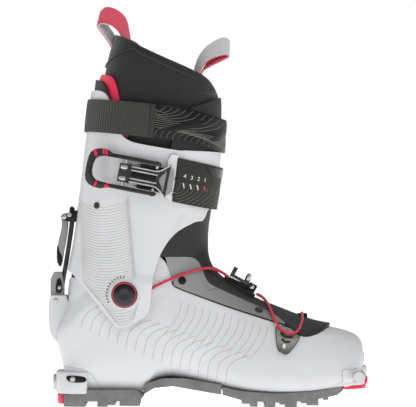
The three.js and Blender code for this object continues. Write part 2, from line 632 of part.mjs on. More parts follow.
const FORWARD_LEAN = 22;
// The shaft's lower front edge stays over the instep at full forward lean: radius, angle at rest.
const SHAFT_FRONT_EDGE = [[61, 42], [70, 34], [FRONT_SWEEP + 1.5, 31]];

function shaftLiner() {
  const frontEdge = SHAFT_FRONT_EDGE.map(([radius, angle]) => atPivot(radius, angle + FORWARD_LEAN));
  const bottom = [...arc(SHAFT_SWEEP + 0.6, 175, 45 + FORWARD_LEAN, 24), ...frontEdge,
    ...arc(FRONT_SWEEP + 1.5, 50, 44, 2), [60, 180], [60, 400], [-200, 400], [-200, 104]];
  const topEdge = [[10, 273], [5.5, 281.5], [-2, 290], [-14, 296.5], [-40, 308], [-68, 323.5], [-82, 326.5],
    [-120, 326.5], [-140, 100], [60, 100], [60, 262]];
  const skin = linerForm(0).intersect(sidePrism(bottom)).intersect(sidePrism(topEdge));
  return skin.subtract(linerForm(-SHAFT_LINER_WALL))
    .subtract(box([-140, -104], [-SPINE_SLOT.halfWidth, SPINE_SLOT.halfWidth], [100, SPINE_SLOT.high]));
}

function shinTongue() {
  const region = sidePrism([...arc(FRONT_SWEEP, 50, 38, 3), [40, 150], [60, 300], [10, 290], [-4, 275.5],
    [-16, 262], [-26, 240], [-30, 216]]);
  return layer(cuffForm, insideCuff, insideCuff - 2).intersect(region).subtract(linerForm(GAP));
}

// Straps that lie round the cuff.
const CUFF_STRAP = [[-25.5, 218.6], [15.7, 209.9], [30, 207], [30, 172], [8.4, 173.2], [-30.8, 180.5]];
const POWER_STRAP = [[-120, 272], [-99, 270.7], [-50, 266], [-15, 260.7], [30, 249], [30, 219],
  [-15, 231.5], [-51.5, 236.5], [-99.7, 241.7], [-120, 243]];

function cuffStrap() {
  const inner = sidePrism([[-12, 214], [30, 207], [30, 172], [-12, 178]], ...INNER_SIDE);
  return layer(cuffForm, 2.3, GAP).intersect(sidePrism(CUFF_STRAP, ...OUTER_SIDE).add(inner))
    .subtract(strapRivet(GAP));
}

const STRAP_RIVET = { at: [-6, 44, 195.5], turn: [0, 0, -30] };
const strapRivet = (grow) => placed(pin(2.6 + grow, 0, 0, -6, 12, 12), STRAP_RIVET);

function strapRivetPiece() {
  const head = placed(pin(4.4, 0, 0, -6, 12, 16), STRAP_RIVET).intersect(layer(cuffForm, 3.6, 2.3 + GAP));
  return head.add(strapRivet(0).intersect(layer(cuffForm, 3.6, -CUFF_WALL - 0.4)));
}

function strapEndPlate() {
  const outline = [[-34.5, 216.5], [-31, 222], [-24.6, 220.4], [-26.4, 218.4], [-31.6, 180.3],
    [-38.5, 185.8]];
  return layer(cuffForm, 2.6, GAP).intersect(sidePrism(outline, ...OUTER_SIDE));
}

const STRAP_SPLIT = [[-50, 266.5], [-51.5, 236]];

function powerStrap(front) {
  const [top, bottom] = STRAP_SPLIT;
  const shift = front ? GAP : 0;
  const edge = front ? 60 : -160;
  const half = sidePrism([[top[0] + shift, 300], [top[0] + shift, top[1]], [bottom[0] + shift, bottom[1]],
    [bottom[0] + shift, 200], [edge, 200], [edge, 300]]);
  return layer(cuffForm, 2.8, GAP).intersect(sidePrism(POWER_STRAP)).intersect(half);
}

function pivotCap(side) {
  const [low, high] = side < 0 ? [-46.4, -44.2] : [44.2, 46.4];
  const groove = side < 0 ? [-48, -45.4] : [45.4, 48];
  const shaft = side < 0 ? [-45, -34] : [34, 45];
  const { x, z } = CUFF_PIVOT;
  const ring = pin(10.7, x, z, ...groove, 28).subtract(pin(9.9, x, z, -60, 60, 28));
  return pin(11.2, x, z, low, high, 28).subtract(ring).subtract(cuffForm(GAP))
    .add(pin(5, x, z, ...shaft)).subtract(footForm(-SHELL_WALL));
}

function pivotRing(side) {
  const reachOut = side < 0 ? [-46.3, -45.4 - GAP / 2] : [45.4 + GAP / 2, 46.3];
  const { x, z } = CUFF_PIVOT;
  return pin(10.7 - GAP / 2, x, z, ...reachOut, 28).subtract(pin(9.9 + GAP / 2, x, z, -60, 60, 28));
}

// ---- Lock bar, its bracket on the heel and its housing on the cuff ----------------------------------

const BAR_LENGTH = Math.hypot(BAR_TOP.x - BAR_PIVOT.x, BAR_TOP.z - BAR_PIVOT.z);
const BAR_LEAN = THREE.MathUtils.radToDeg(Math.atan2(BAR_TOP.x - BAR_PIVOT.x, BAR_TOP.z - BAR_PIVOT.z));
const BAR = { thickness: 3.6, halfWidth: 6, eye: 3.4, hole: 1.7 };

function lockBar() {
  const half = BAR.thickness / 2;
  const bar = box([-half, half], [-BAR.halfWidth, BAR.halfWidth], [0, BAR_LENGTH])
    .subtract(box([-half - 1, half + 1], [-2, 2], [22, BAR_LENGTH - 12]));
  const eye = pin(BAR.eye, 0, 0, -BAR.halfWidth, BAR.halfWidth);
  return placed(bar.add(eye).subtract(pin(BAR.hole + GAP, 0, 0, -20, 20, 12)),
    { at: [BAR_PIVOT.x, 0, BAR_PIVOT.z], turn: [0, BAR_LEAN, 0] });
}

function lockBracket() {
  const { outside, inside, low, high, rear, front } = BRACKET;
  const cheek = [[rear, low], [rear, 112], [rear + 3, high], [front - 2, high], [front - 0.2, 108],
    [front - 0.6, low]];
  const cheeks = sidePrism(cheek, -8.6, -6.4).add(sidePrism(cheek, 6.4, 8.6));
  const foot = box([rear, front - 1], [-8.6, 8.6], [low, low + 3]);
  return cheeks.add(foot).subtract(pin(BAR.hole + GAP, BAR_PIVOT.x, BAR_PIVOT.z, -30, 30, 12))
    .subtract(footForm(GAP)).subtract(cuffForm(0.8));
}

const bracketPin = () => pin(BAR.hole, BAR_PIVOT.x, BAR_PIVOT.z, -10.2, 10.2, 12);

const HOUSING = { inside: 9.7, outside: 12, low: 139, high: 178, rear: -130 };

function mechanismHousing() {
  const { inside, outside, low, high, rear } = HOUSING;
  const cheek = [[-108, low], [rear + 3.5, low], [rear, low + 8], [rear + 0.5, high - 6], [rear + 3, high],
    [-106, high]];
  const bridge = box([rear + 1.5, -125], [-outside, outside], [high - 6, high]);
  return sidePrism(cheek, -outside, -inside).add(sidePrism(cheek, inside, outside)).add(bridge)
    .subtract(pin(1.7 + GAP, WALK_LEVER_PIVOT.x, WALK_LEVER_PIVOT.z, -20, 20, 12))
    .subtract(cuffForm(GAP));
}

function walkLever() {
  const outline = [[-125, 169], [-124.9, 163.5], [-127.8, 145], [-131.4, 124], [-134.4, 124], [-135, 131],
    [-133.6, 147], [-130.4, 161], [-129.8, 169]];
  return sidePrism(outline, -5.9, 5.9)
    .subtract(pin(1.7 + GAP, WALK_LEVER_PIVOT.x, WALK_LEVER_PIVOT.z, -20, 20, 12));
}

const walkLeverPin = () => pin(1.7, WALK_LEVER_PIVOT.x, WALK_LEVER_PIVOT.z, -13, 13, 12);

// ---- The cuff's buckle, drawn with +X along it, -Y outwards and +Z across it ------------------------

const buckleTurn = [0, CUFF_LEVER_RISE, -CUFF_LEVER_TOE_IN];
const cuffLeverPlace = { at: Object.values(CUFF_LEVER_PIVOT), turn: buckleTurn };
const LEVER = { arm: 15, lane: 11.5, thickness: 2.4, hole: 1.7 };
const BAIL_PIN = -28;

// A plate in the buckle's own plane, from its outline along and across it.
function bucklePlate(outline, low, high) {
  const shape = new THREE.Shape(outline.map(([u, v]) => new THREE.Vector2(u, v)));
  const geometry = new THREE.ExtrudeGeometry(shape, { depth: high - low, bevelEnabled: false });
  geometry.rotateX(Math.PI / 2);
  geometry.translate(0, high, 0);
  return solidOf(geometry);
}

// A pin across the buckle, between two distances from its middle line.
function crossPin(radius, u, w, low, high, facets = 12) {
  const geometry = new THREE.CylinderGeometry(radius, radius, high - low, facets);
  geometry.rotateX(Math.PI / 2);
  geometry.translate(u, -w, (low + high) / 2);
  return solidOf(geometry);
}

const mirrored = (outline) => [...outline, ...[...outline].reverse().map(([u, v]) => [u, -v])];

function cuffBuckleBase() {
  const plate = bucklePlate(mirrored([[-10, 16], [5.4, 16]]), 4.4, 12);
  const ear = (low, high) => box([-3.6, 3.6], [-3.4, 5], [low, high]);
  return placed(plate.add(ear(8.4, 11)).add(ear(-11, -8.4))
    .subtract(crossPin(LEVER.hole + GAP, 0, 0, -20, 20)), cuffLeverPlace).subtract(cuffForm(GAP));
}

function cuffBuckleLever() {
  const { arm, lane, thickness, hole } = LEVER;
  const outer = mirrored([[3.4, arm - 1], [2, arm], [-41, arm], [-43.5, 17.6], [-55, 17], [-60, 13],
    [-61.6, 6]]);
  const inner = mirrored([[10, lane], [-34, lane], [-50, 11], [-55, 8], [-56, 3]]);
  return placed(bucklePlate(outer, -thickness, thickness)
    .subtract(bucklePlate(inner, -20, 20))
    .subtract(crossPin(hole + GAP, 0, 0, -20, 20))
    .subtract(crossPin(hole + GAP, BAIL_PIN, 0, -20, 20)), cuffLeverPlace);
}

const buckleRivet = (side) => placed(crossPin(LEVER.hole, 0, 0, ...(side < 0 ? [-15.8, -8.2] : [8.2, 15.8])),
  cuffLeverPlace);
const bailPin = () => placed(crossPin(LEVER.hole, BAIL_PIN, 0, -15.4, 15.4), cuffLeverPlace);

function bail() {
  const block = box([BAIL_PIN - 4.6, BAIL_PIN + 6], [-3, 3], [-8, 8]);
  const rail = (low, high) => box([BAIL_PIN + 5, 6], [-1.4, 1.4], [low, high]);
  const fork = bucklePlate(mirrored([[5, 7.6], [16.5, 14.5]]), -1.4, 1.4)
    .subtract(bucklePlate(mirrored([[-2, 2.5], [12.8, 9]]), -5, 5));
  return placed(block.add(rail(4.4, 7.6)).add(rail(-7.6, -4.4)).add(fork)
    .subtract(crossPin(LEVER.hole + GAP, BAIL_PIN, 0, -20, 20)), cuffLeverPlace);
}

function strapCatch() {
  return placed(box([14.2 + 2.6, 19.6], [-2.2, 14], [-9, 9]).add(box([13.4, 19.6], [2.2, 14], [-9, 9])),
    cuffLeverPlace).subtract(cuffForm(2.6 + GAP)).intersect(cuffForm(20));
}

// ---- Pull loops --------------------------------------------------------------------------------------

// A band that closes on itself, from its middle line in x and z.
function bandLoop(points, thickness, low, high) {
  const curve = new THREE.CatmullRomCurve3(points.map(([x, z]) => new THREE.Vector3(x, 0, z)), true);
  const samples = curve.getSpacedPoints(26).slice(0, -1);
  const offset = (distance) => samples.map((point, i) => {
    const ahead = samples[(i + 1) % samples.length];
    const behind = samples[(i + samples.length - 1) % samples.length];
    const along = new THREE.Vector2(ahead.x - behind.x, ahead.z - behind.z).normalize();
    return [point.x + along.y * distance, point.z - along.x * distance];
  });
  const first = sidePrism(offset(thickness / 2), low, high);
  const second = sidePrism(offset(-thickness / 2), low, high);
  return first.volume() > second.volume() ? first.subtract(second) : second.subtract(first);
}

const REAR_LOOP = [[-84, 329], [-93, 334], [-96.5, 343], [-91, 352], [-80, 350.5], [-72, 342], [-69.5, 329],
  [-76, 327.6]];
const FRONT_LOOP = [[-10.5, 300.5], [-8, 312], [2, 322.5], [13, 327.6], [20, 323], [15.5, 312.5],
  [2, 303.5], [-5, 297.6]];

function buildCuff() {
  addPiece("cuff", "cuff_shell", cuffShell(), white);
  addPiece("cuff", "cuff_screw", cuffScrew(), grey);
  addPiece("cuff", "rear_spoiler", rearSpoiler(), darkGrey);
  addPiece("cuff", "inner_spoiler", innerSpoiler(), red);
  addPiece("cuff", "liner_shaft", shaftLiner(), linerCloth);
  addPiece("cuff", "tongue_shin", shinTongue(), darkGrey);
  addPiece("cuff", "cuff_strap", cuffStrap(), black);
  addPiece("cuff", "cuff_strap_rivet", strapRivetPiece(), steel);
  addPiece("cuff", "strap_end_plate", strapEndPlate(), white);
  addPiece("cuff", "strap_catch", strapCatch(), darkGrey);
  addPiece("cuff", "power_strap_webbing", powerStrap(false), webbing);
  addPiece("cuff", "power_strap_tab", powerStrap(true), black);
  addPiece("cuff", "pull_loop_rear", bandLoop(REAR_LOOP, 1.8, -9.5, 9.5), red);
  addPiece("cuff", "pull_loop_front", bandLoop(FRONT_LOOP, 1.8, -9.5, 9.5), red);
  for (const [word, hand] of [["lateral", -1], ["medial", 1]]) {
    addPiece("lower", `pivot_bolt_${word}`, pivotCap(hand), black);
    addPiece("lower", `pivot_ring_${word}`, pivotRing(hand), red);
  }
}

function buildMechanism() {
  addPiece("lower", "lock_bracket", lockBracket(), gunmetal);
  addPiece("lower", "lock_bracket_pin", bracketPin(), steel);
  addPiece("lock", "lock_bar", lockBar(), gunmetal);
  addPiece("cuff", "mechanism_housing", mechanismHousing(), gunmetal);
  addPiece("cuff", "walk_lever_pin", walkLeverPin(), steel);
  addPiece("walkLever", "walk_lever", walkLever(), grey);
}

function buildCuffBuckle() {
  addPiece("cuff", "cuff_buckle_base", cuffBuckleBase(), black);
  addPiece("cuff", "cuff_buckle_rivet_lower", buckleRivet(-1), steel);
  addPiece("cuff", "cuff_buckle_rivet_upper", buckleRivet(1), steel);
  addPiece("cuffLever", "cuff_buckle_lever", cuffBuckleLever(), darkGrey);
  addPiece("cuffLever", "cuff_buckle_bail_pin", bailPin(), steel);
  addPiece("catchLink", "cuff_buckle_bail", bail(), steel);
}

buildLower();
buildInstep();
buildCuff();
buildMechanism();
buildCuffBuckle();
export default boot;
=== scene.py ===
"""A ski touring boot: smooth shells, sewn soft parts and worn metal built round a fixed jointed frame."""

import json
import math
from contextlib import contextmanager

import bmesh
import bpy
import numpy as np
from mathutils import Matrix, Vector


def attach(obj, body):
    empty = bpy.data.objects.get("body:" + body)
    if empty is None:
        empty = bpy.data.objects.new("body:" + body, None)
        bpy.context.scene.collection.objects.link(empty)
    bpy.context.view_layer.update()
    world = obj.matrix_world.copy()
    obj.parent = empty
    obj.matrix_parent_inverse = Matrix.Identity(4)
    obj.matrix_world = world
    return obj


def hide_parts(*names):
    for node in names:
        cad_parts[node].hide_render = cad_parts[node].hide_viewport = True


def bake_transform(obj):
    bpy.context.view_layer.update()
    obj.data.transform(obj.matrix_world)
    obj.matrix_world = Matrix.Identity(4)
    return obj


bl_info = {
    "name": "Ski Touring Boot",
    "version": (1, 0, 0),
    "blender": (4, 5, 0),
    "location": "View3D > Sidebar > Boot",
    "description": "Builds the shells, liner, straps, buckles and sole of a ski touring boot on its frame",
    "category": "Object",
}

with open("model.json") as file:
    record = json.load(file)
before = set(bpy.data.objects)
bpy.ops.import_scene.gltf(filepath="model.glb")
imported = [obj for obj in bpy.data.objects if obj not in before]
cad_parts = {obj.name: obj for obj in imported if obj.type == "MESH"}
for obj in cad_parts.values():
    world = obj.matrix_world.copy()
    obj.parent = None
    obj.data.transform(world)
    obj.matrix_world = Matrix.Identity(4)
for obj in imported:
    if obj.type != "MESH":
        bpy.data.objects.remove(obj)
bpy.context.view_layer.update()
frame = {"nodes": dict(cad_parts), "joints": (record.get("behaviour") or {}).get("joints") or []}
JOINTS = {joint["name"]: joint for joint in frame["joints"]}
MM = 0.001
SEAM = 0.02  # how far apart, in millimetres, two points of a seam may be and still be joined
FINISHES = {}


def joint_place(name):
    """A joint's point in millimetres, with Y counted from the boot's own middle plane."""
    x, y, z = (value / MM for value in JOINTS[name]["pos_m"])
    return x, y - SHIFT_Y, z


SHIFT_Y = JOINTS["cuff_pivot"]["pos_m"][1] / MM
PIVOT_X, _, PIVOT_Z = joint_place("cuff_pivot")

# ---- Forms: the outsides of the lower shell, the cuff and the liner ----
# Each section is a closed oval square to the side view: rear x, rear z, front x, front z, outer half
# width, inner half width, where it is widest, squareness at the rear and at the front.

FOOT_SECTIONS = [
    (138.9, 41.4, 138.9, 42.6, 1, 1.2, 0.5, 2.2, 2.2),
    (138.0, 36, 138.0, 48, 14, 18, 0.5, 2.4, 2.4),
    (136.6, 27, 136.6, 56, 25, 29, 0.48, 2.6, 2.4),
    (132.5, 19, 132.5, 61.6, 33, 36, 0.45, 2.8, 2.4),
    (125, 15.2, 125, 65.3, 38.5, 41, 0.42, 3, 2.4),
    (112, 13.4, 112, 68.8, 44, 45.5, 0.4, 3.2, 2.5),
    (95, 10.4, 95, 72.4, 48.5, 49, 0.38, 3.4, 2.5),
    (78, 8.7, 78, 78.3, 51.5, 51, 0.36, 3.4, 2.4),
    (60, 8.3, 61, 85, 52.5, 50.5, 0.34, 3.4, 2.3),
    (42, 9.2, 45, 91.2, 51, 47.5, 0.33, 3.3, 2.2),
    (24, 11.6, 31, 98.7, 48, 44.5, 0.33, 3.2, 2.1),
    (5, 15.6, 19, 106.4, 44.5, 41.5, 0.34, 3, 2.1),
    (-14, 20.6, 10.5, 112.8, 41.5, 39.5, 0.36, 2.9, 2.1),
    (-33, 24.3, 4.5, 119, 39, 38.5, 0.38, 2.9, 2.1),
    (-48, 20, 1.5, 124.5, 37.5, 37.5, 0.4, 2.9, 2.1),
    (-62, 9, 0, 129, 36.8, 36.8, 0.42, 3, 2.1),
    (-82, 8.2, -1, 133, 36.5, 36.5, 0.42, 3, 2.1),
    (-106, 8.2, -1.5, 137, 36.5, 36.5, 0.42, 3, 2.1),
    (-123, 10.5, -1.7, 141, 36.5, 36.5, 0.42, 2.9, 2.1),
    (-127.5, 22, -1.7, 145, 36.7, 36.7, 0.42, 2.8, 2.1),
    (-129, 36, -1.6, 149, 37, 37, 0.42, 2.7, 2.1),
    (-133, 50, -1.3, 154, 37.2, 37.2, 0.42, 2.6, 2.1),
    (-135.5, 64, -1, 160, 37.2, 37.2, 0.42, 2.5, 2.1),
    (-130.2, 77, -0.6, 166, 37, 37, 0.42, 2.4, 2.1),
    (-125.6, 87.5, 0, 172, 36.8, 36.8, 0.42, 2.4, 2.1),
    (-124.6, 98, 0.6, 179, 36.8, 36.8, 0.42, 2.4, 2.1),
    (-122.6, 114, 1.2, 189, 36.8, 36.8, 0.42, 2.4, 2.1),
    (-117, 134, 2, 200, 36.8, 36.8, 0.42, 2.4, 2.1),
]
CUFF_SECTIONS = [
    (-129, 55, -22, 55, 43.6, 43.6, 0.5, 2.8, 2.8),
    (-128, 85, -14, 88, 43.8, 43.8, 0.5, 2.8, 2.8),
    (-126.6, 105, -5, 116, 44, 44, 0.5, 2.7, 2.7),
    (-124.8, 120, 0, 140, 44.4, 44.4, 0.5, 2.6, 2.5),
    (-120, 145, 3.5, 158, 45.5, 45.5, 0.5, 2.4, 2.3),
    (-115.8, 177, 7, 181, 48.5, 48, 0.5, 2.3, 2.2),
    (-112, 205, 11, 208, 51.5, 50.5, 0.5, 2.3, 2.2),
    (-108, 240, 13.5, 233, 53.5, 52, 0.5, 2.3, 2.2),
    (-104, 276, 15, 262, 54.5, 53, 0.5, 2.3, 2.2),
    (-101, 300, 13.5, 290, 54.5, 53, 0.5, 2.3, 2.2),
]
LINER_SECTIONS = [
    (-116, 120, -4, 128, 38, 38, 0.5, 2.4, 2.2),
    (-114, 145, -1, 150, 40, 40, 0.5, 2.4, 2.2),
    (-110, 177, 1, 181, 43, 42.5, 0.5, 2.3, 2.2),
    (-106, 205, 4.6, 208, 45.5, 44.5, 0.5, 2.3, 2.2),
    (-101.5, 240, 7, 233, 47, 46, 0.5, 2.3, 2.2),
    (-97, 270, 8.6, 262, 47.5, 46.5, 0.5, 2.3, 2.2),
    (-92, 291, 9, 283, 47, 46, 0.5, 2.3, 2.2),
    (-87.5, 312, 5, 300, 45.5, 45, 0.5, 2.3, 2.2),
    (-82, 330, 0, 318, 44, 43, 0.5, 2.3, 2.2),
]
LATERAL, MEDIAL = -1, 1
TOE_TIP = 138  # where along the boot the skin grows forwards by its whole thickness
SIDES = {"lateral": LATERAL, "medial": MEDIAL}


def spline(a, b, c, d, t):
    """From b to c, as t goes from 0 to 1, on a smooth curve that a and d bend."""
    return (2 * b + (c - a) * t + (2 * a - 5 * b + 4 * c - d) * t**2 + (3 * b - a - 3 * c + d) * t**3) / 2


class Form:
    """A smooth surface through ovals. v counts sections, s runs from the front (0) to the rear (1)."""

    def __init__(self, sections, toe_at=None):
        self.table = np.array(sections, float)
        self.last = len(sections) - 1
        self.toe_at = toe_at

    def section(self, v):
        """The section's nine values at v, by a curve through the table's rows."""
        v = np.clip(np.asarray(v, float), 0, self.last)
        k = np.minimum(v.astype(int), len(self.table) - 2)
        t = (v - k)[..., None]
        rows = [self.table[np.clip(k + i, 0, self.last)] for i in (-1, 0, 1, 2)]
        return spline(*rows, t)

    def point(self, v, s, side, grow=0.0):
        """Points in millimetres on the skin moved out by grow."""
        v, s = np.broadcast_arrays(np.asarray(v, float), np.asarray(s, float))
        grow = np.broadcast_to(np.asarray(grow, float), v.shape)
        rx, rz, fx, fz, outer, inner, widest, rear_square, front_square = np.moveaxis(self.section(v), -1, 0)
        if self.toe_at is not None:
            nearness = np.clip((self.section(v)[..., 0] - self.toe_at) / (TOE_TIP - self.toe_at), 0, None)
            rx = rx + grow * nearness
            fx = fx + grow * nearness
        length = np.hypot(fx - rx, fz - rz)
        ax, az = (fx - rx) / length, (fz - rz) / length
        forward = np.cos(np.pi * s)
        sideways = np.sin(np.pi * s)
        power = 2 / np.where(forward < 0, rear_square, front_square)
        reach = np.abs(forward) ** power
        share = np.where(forward < 0, widest * (1 - reach), widest + (1 - widest) * reach)
        distance = share * (length + 2 * grow) - grow
        half = (outer if side < 0 else inner) + grow
        y = side * np.clip(sideways, 0, None) ** power * half
        return np.stack([rx + ax * distance, y, rz + az * distance], -1)

    def place(self, side):
        """The skin of one side, for a patch whose columns are sections."""
        return lambda v, s, grow: self.point(v, s, side, grow)

    def place_across(self, side):
        """The skin of one side, for a patch whose columns run up it."""
        return lambda s, v, grow: self.point(v, s, side, grow)

    def find(self, places, side, grow=0.0):
        """The v and s at which the skin has the given side-view places (x, z)."""
        places = np.asarray(places, float)
        v_grid, s_grid = np.meshgrid(np.linspace(0, self.last, 160), np.linspace(0.01, 0.99, 90))
        coarse = self.point(v_grid, s_grid, side, grow)[..., [0, 2]].reshape(-1, 2)
        gaps = ((places[:, None, :] - coarse[None]) ** 2).sum(-1)
        best = gaps.argmin(1)
        v, s = v_grid.ravel()[best], s_grid.ravel()[best]
        for _ in range(8):
            here = self.point(v, s, side, grow)[..., [0, 2]]
            by_v = (self.point(v + 1e-4, s, side, grow)[..., [0, 2]] - here) / 1e-4
            by_s = (self.point(v, s + 1e-5, side, grow)[..., [0, 2]] - here) / 1e-5
            miss = places - here
            area = by_v[:, 0] * by_s[:, 1] - by_v[:, 1] * by_s[:, 0]
            area = np.where(np.abs(area) < 1e-6, 1e-6, area)
            step_v = (miss[:, 0] * by_s[:, 1] - miss[:, 1] * by_s[:, 0]) / area
            step_s = (by_v[:, 0] * miss[:, 1] - by_v[:, 1] * miss[:, 0]) / area
            v = np.clip(v + np.clip(step_v, -0.3, 0.3), 0, self.last)
            s = np.clip(s + np.clip(step_s, -0.05, 0.05), 0.001, 0.999)
        return v, s

    def on_skin(self, places, side, grow=0.0):
        """Points on the skin above side-view places, and the skin's outward directions there."""
        v, s = self.find(places, side, 0.0)
        points = self.point(v, s, side, grow)
        return points, unit(self.normal(v, s, side))

    def normal(self, v, s, side):
        """The skin's own outward direction, square to it."""
        s = np.clip(s, 0.004, 0.996)
        by_v = self.point(v + 0.01, s, side) - self.point(v - 0.01, s, side)
        by_s = self.point(v, s + 0.002, side) - self.point(v, s - 0.002, side)
        across = np.cross(by_v, by_s)
        outward = self.point(v, s, side, 1.0) - self.point(v, s, side)
        return across * np.sign((across * outward).sum(-1, keepdims=True))


def unit(vectors):
    return vectors / np.maximum(np.linalg.norm(vectors, axis=-1, keepdims=True), 1e-9)


FOOT = Form(FOOT_SECTIONS, toe_at=95)
CUFF = Form(CUFF_SECTIONS)
LINER = Form(LINER_SECTIONS)


def rounded_path(points, closed=False, per_span=8):
    """A smooth path through side-view points."""
    points = [np.array(point, float) for point in points]
    count = len(points)
    spans = count if closed else count - 1
    path = []
    for i in range(spans):
        if closed:
            a, b, c, d = (points[(i + j) % count] for j in (-1, 0, 1, 2))
        else:
            a, b, c, d = (points[min(max(i + j, 0), count - 1)] for j in (-1, 0, 1, 2))
        path.extend(spline(a, b, c, d, step / per_span) for step in range(per_span))
    if not closed:
        path.append(points[-1])
    return [tuple(point) for point in path]


def closed_path(points, per_span=8):
    """A smooth closed outline through side-view points."""
    return rounded_path(points, True, per_span)


def at_pivot(radius, angle):
    return (PIVOT_X + radius * math.cos(math.radians(angle)), PIVOT_Z + radius * math.sin(math.radians(angle)))


def within(outline, points):
    """Which points lie inside a side-view outline."""
    x, z = points[..., 0], points[..., 2]
    found = np.zeros(x.shape, bool)
    for (x0, z0), (x1, z1) in zip(outline, [*outline[1:], outline[0]]):
        if z0 == z1:
            continue
        crosses = (z0 > z) != (z1 > z)
        found ^= crosses & (x < (x1 - x0) * (z - z0) / (z1 - z0) + x0)
    return found


def refine(test, outside, inside, steps=18):
    """Where a test turns true between two arrays of values."""
    for _ in range(steps):
        middle = (outside + inside) / 2
        hit = test(middle)
        inside = np.where(hit, middle, inside)
        outside = np.where(hit, outside, middle)
    return inside


class Patch:
    """A trimmed part of a surface as a grid of points, with its outward direction at each.

    place(c, r, grow) gives the surface. Each column c keeps the rows r that inside(points) allows, and
    the columns are spaced evenly along the trimmed edges.
    """

    def __init__(self, place, inside, c_span, r_span=(0.0, 1.0), columns=100, rows=50, grow=0.0,
                 trim_grow=0.0):
        samples = np.linspace(*r_span, 260)

        def test(c, r):
            return inside(place(c, r, trim_grow))

        def any_inside(c):
            return test(c[:, None], samples[None, :]).any(1)

        def edges(c):
            mask = test(c[:, None], samples[None, :])
            start = mask.argmax(1)
            stop = mask.shape[1] - 1 - mask[:, ::-1].argmax(1)
            first, last = samples[start], samples[stop]
            inner = refine(lambda r: test(c, r), samples[np.maximum(start - 1, 0)], first)
            outer = refine(lambda r: test(c, r), samples[np.minimum(stop + 1, len(samples) - 1)], last)
            return np.where(start > 0, inner, first), np.where(stop < len(samples) - 1, outer, last)

        coarse = np.linspace(*c_span, 400)
        valid = np.flatnonzero(any_inside(coarse))
        low, high = coarse[valid[0]], coarse[valid[-1]]
        if valid[0] > 0:
            low = refine(any_inside, coarse[valid[0] - 1:valid[0]], coarse[valid[0]:valid[0] + 1])[0]
        if valid[-1] < len(coarse) - 1:
            high = refine(any_inside, coarse[valid[-1] + 1:valid[-1] + 2], coarse[valid[-1]:valid[-1] + 1])[0]
        fine = np.linspace(low, high, 500)
        first, last = edges(fine)
        moved = sum(np.linalg.norm(np.diff(place(fine, r, trim_grow), axis=0), axis=-1)
                    for r in (first, last, (first + last) / 2))
        travel = np.concatenate([[0], np.cumsum(moved + 1e-6)])
        grid = np.interp(np.linspace(0, travel[-1], columns), travel, fine)
        first, last = edges(grid)
        self.share = np.repeat(np.linspace(0, 1, rows)[None, :], columns, 0)
        self.c = np.repeat(grid[:, None], rows, 1)
        self.r = first[:, None] + (last - first)[:, None] * self.share
        amount = grow(self.c, self.r, self.share) if callable(grow) else np.full(self.c.shape, float(grow))
        self.points = place(self.c, self.r, amount)
        self.out = place(self.c, self.r, amount + 1.0) - self.points


def trimmed(place, inside, span, sides=(LATERAL, MEDIAL), **shape):
    """Grids and outward directions of one trimmed skin on each side; place(side) gives the surface."""
    patches = [Patch(place(side), inside, span, **shape) for side in sides]
    return [(patch.points, patch.out) for patch in patches]


def grid_faces(points, out):
    """Quads of a grid, wound so that they face outwards."""
    columns, rows = points.shape[:2]
    index = np.arange(columns * rows).reshape(columns, rows)
    quads = np.stack([index[:-1, :-1], index[1:, :-1], index[1:, 1:], index[:-1, 1:]], -1).reshape(-1, 4)
    edge_c = points[1:, :-1] - points[:-1, :-1]
    edge_r = points[:-1, 1:] - points[:-1, :-1]
    facing = (np.cross(edge_c, edge_r) * out[:-1, :-1]).sum()
    return quads if facing > 0 else quads[:, ::-1]


def metres(points):
    """Millimetres counted from the boot's middle plane, as metres in the row's frame."""
    return (np.asarray(points, float) + np.array([0, SHIFT_Y, 0])) * MM


def arc_uv(points):
    """Lengths along a grid's columns and rows, in metres, for patterns that follow the surface."""
    along = np.zeros(points.shape[:2])
    across = np.zeros(points.shape[:2])
    along[1:] = np.cumsum(np.linalg.norm(np.diff(points, axis=0), axis=-1).mean(1))[:, None]
    across[:, 1:] = np.cumsum(np.linalg.norm(np.diff(points, axis=1), axis=-1), 1)
    return np.stack([along, across], -1) * MM


def in_scene(name, data):
    thing = bpy.data.objects.new(name, data)
    bpy.context.scene.collection.objects.link(thing)
    return thing


def new_object(name, mesh, finish=None):
    """An object with one of the finishes by name. A cutter has none."""
    mesh.materials.clear()
    mesh.materials.append(FINISHES.get(finish))
    return in_scene(name, mesh)


def flattened(name, curve):
    """A curve or text as a plain mesh. The curve is used up."""
    thing = in_scene(name, curve)
    bpy.context.view_layer.update()
    mesh = bpy.data.meshes.new_from_object(thing.evaluated_get(bpy.context.evaluated_depsgraph_get()))
    bpy.data.objects.remove(thing)
    bpy.data.curves.remove(curve)
    return mesh


@contextmanager
def editing(mesh):
    """A mesh as a bmesh, written back afterwards."""
    built = bmesh.new()
    built.from_mesh(mesh)
    yield built
    built.to_mesh(mesh)
    built.free()


def skin(name, grids, finish):
    """One mesh from grids of points and outward directions, joined where they meet."""
    verts, faces, uvs = [], [], []
    total = 0
    for points, out in grids:
        faces.append(grid_faces(points, out) + total)
        verts.append(metres(points).reshape(-1, 3))
        uvs.append(arc_uv(points).reshape(-1, 2))
        total += points.shape[0] * points.shape[1]
    mesh = bpy.data.meshes.new(name)
    mesh.from_pydata(np.concatenate(verts).tolist(), [], np.concatenate(faces).tolist())
    layer = mesh.uv_layers.new(name="Length")
    uv = np.concatenate(uvs)
    corners = np.zeros(len(mesh.loops), int)
    mesh.loops.foreach_get("vertex_index", corners)
    layer.data.foreach_set("uv", uv[corners].ravel())
    with editing(mesh) as built:
        bmesh.ops.remove_doubles(built, verts=built.verts, dist=SEAM * MM)
        bmesh.ops.dissolve_degenerate(built, edges=built.edges, dist=SEAM * MM / 2)
    return new_object(name, mesh, finish)


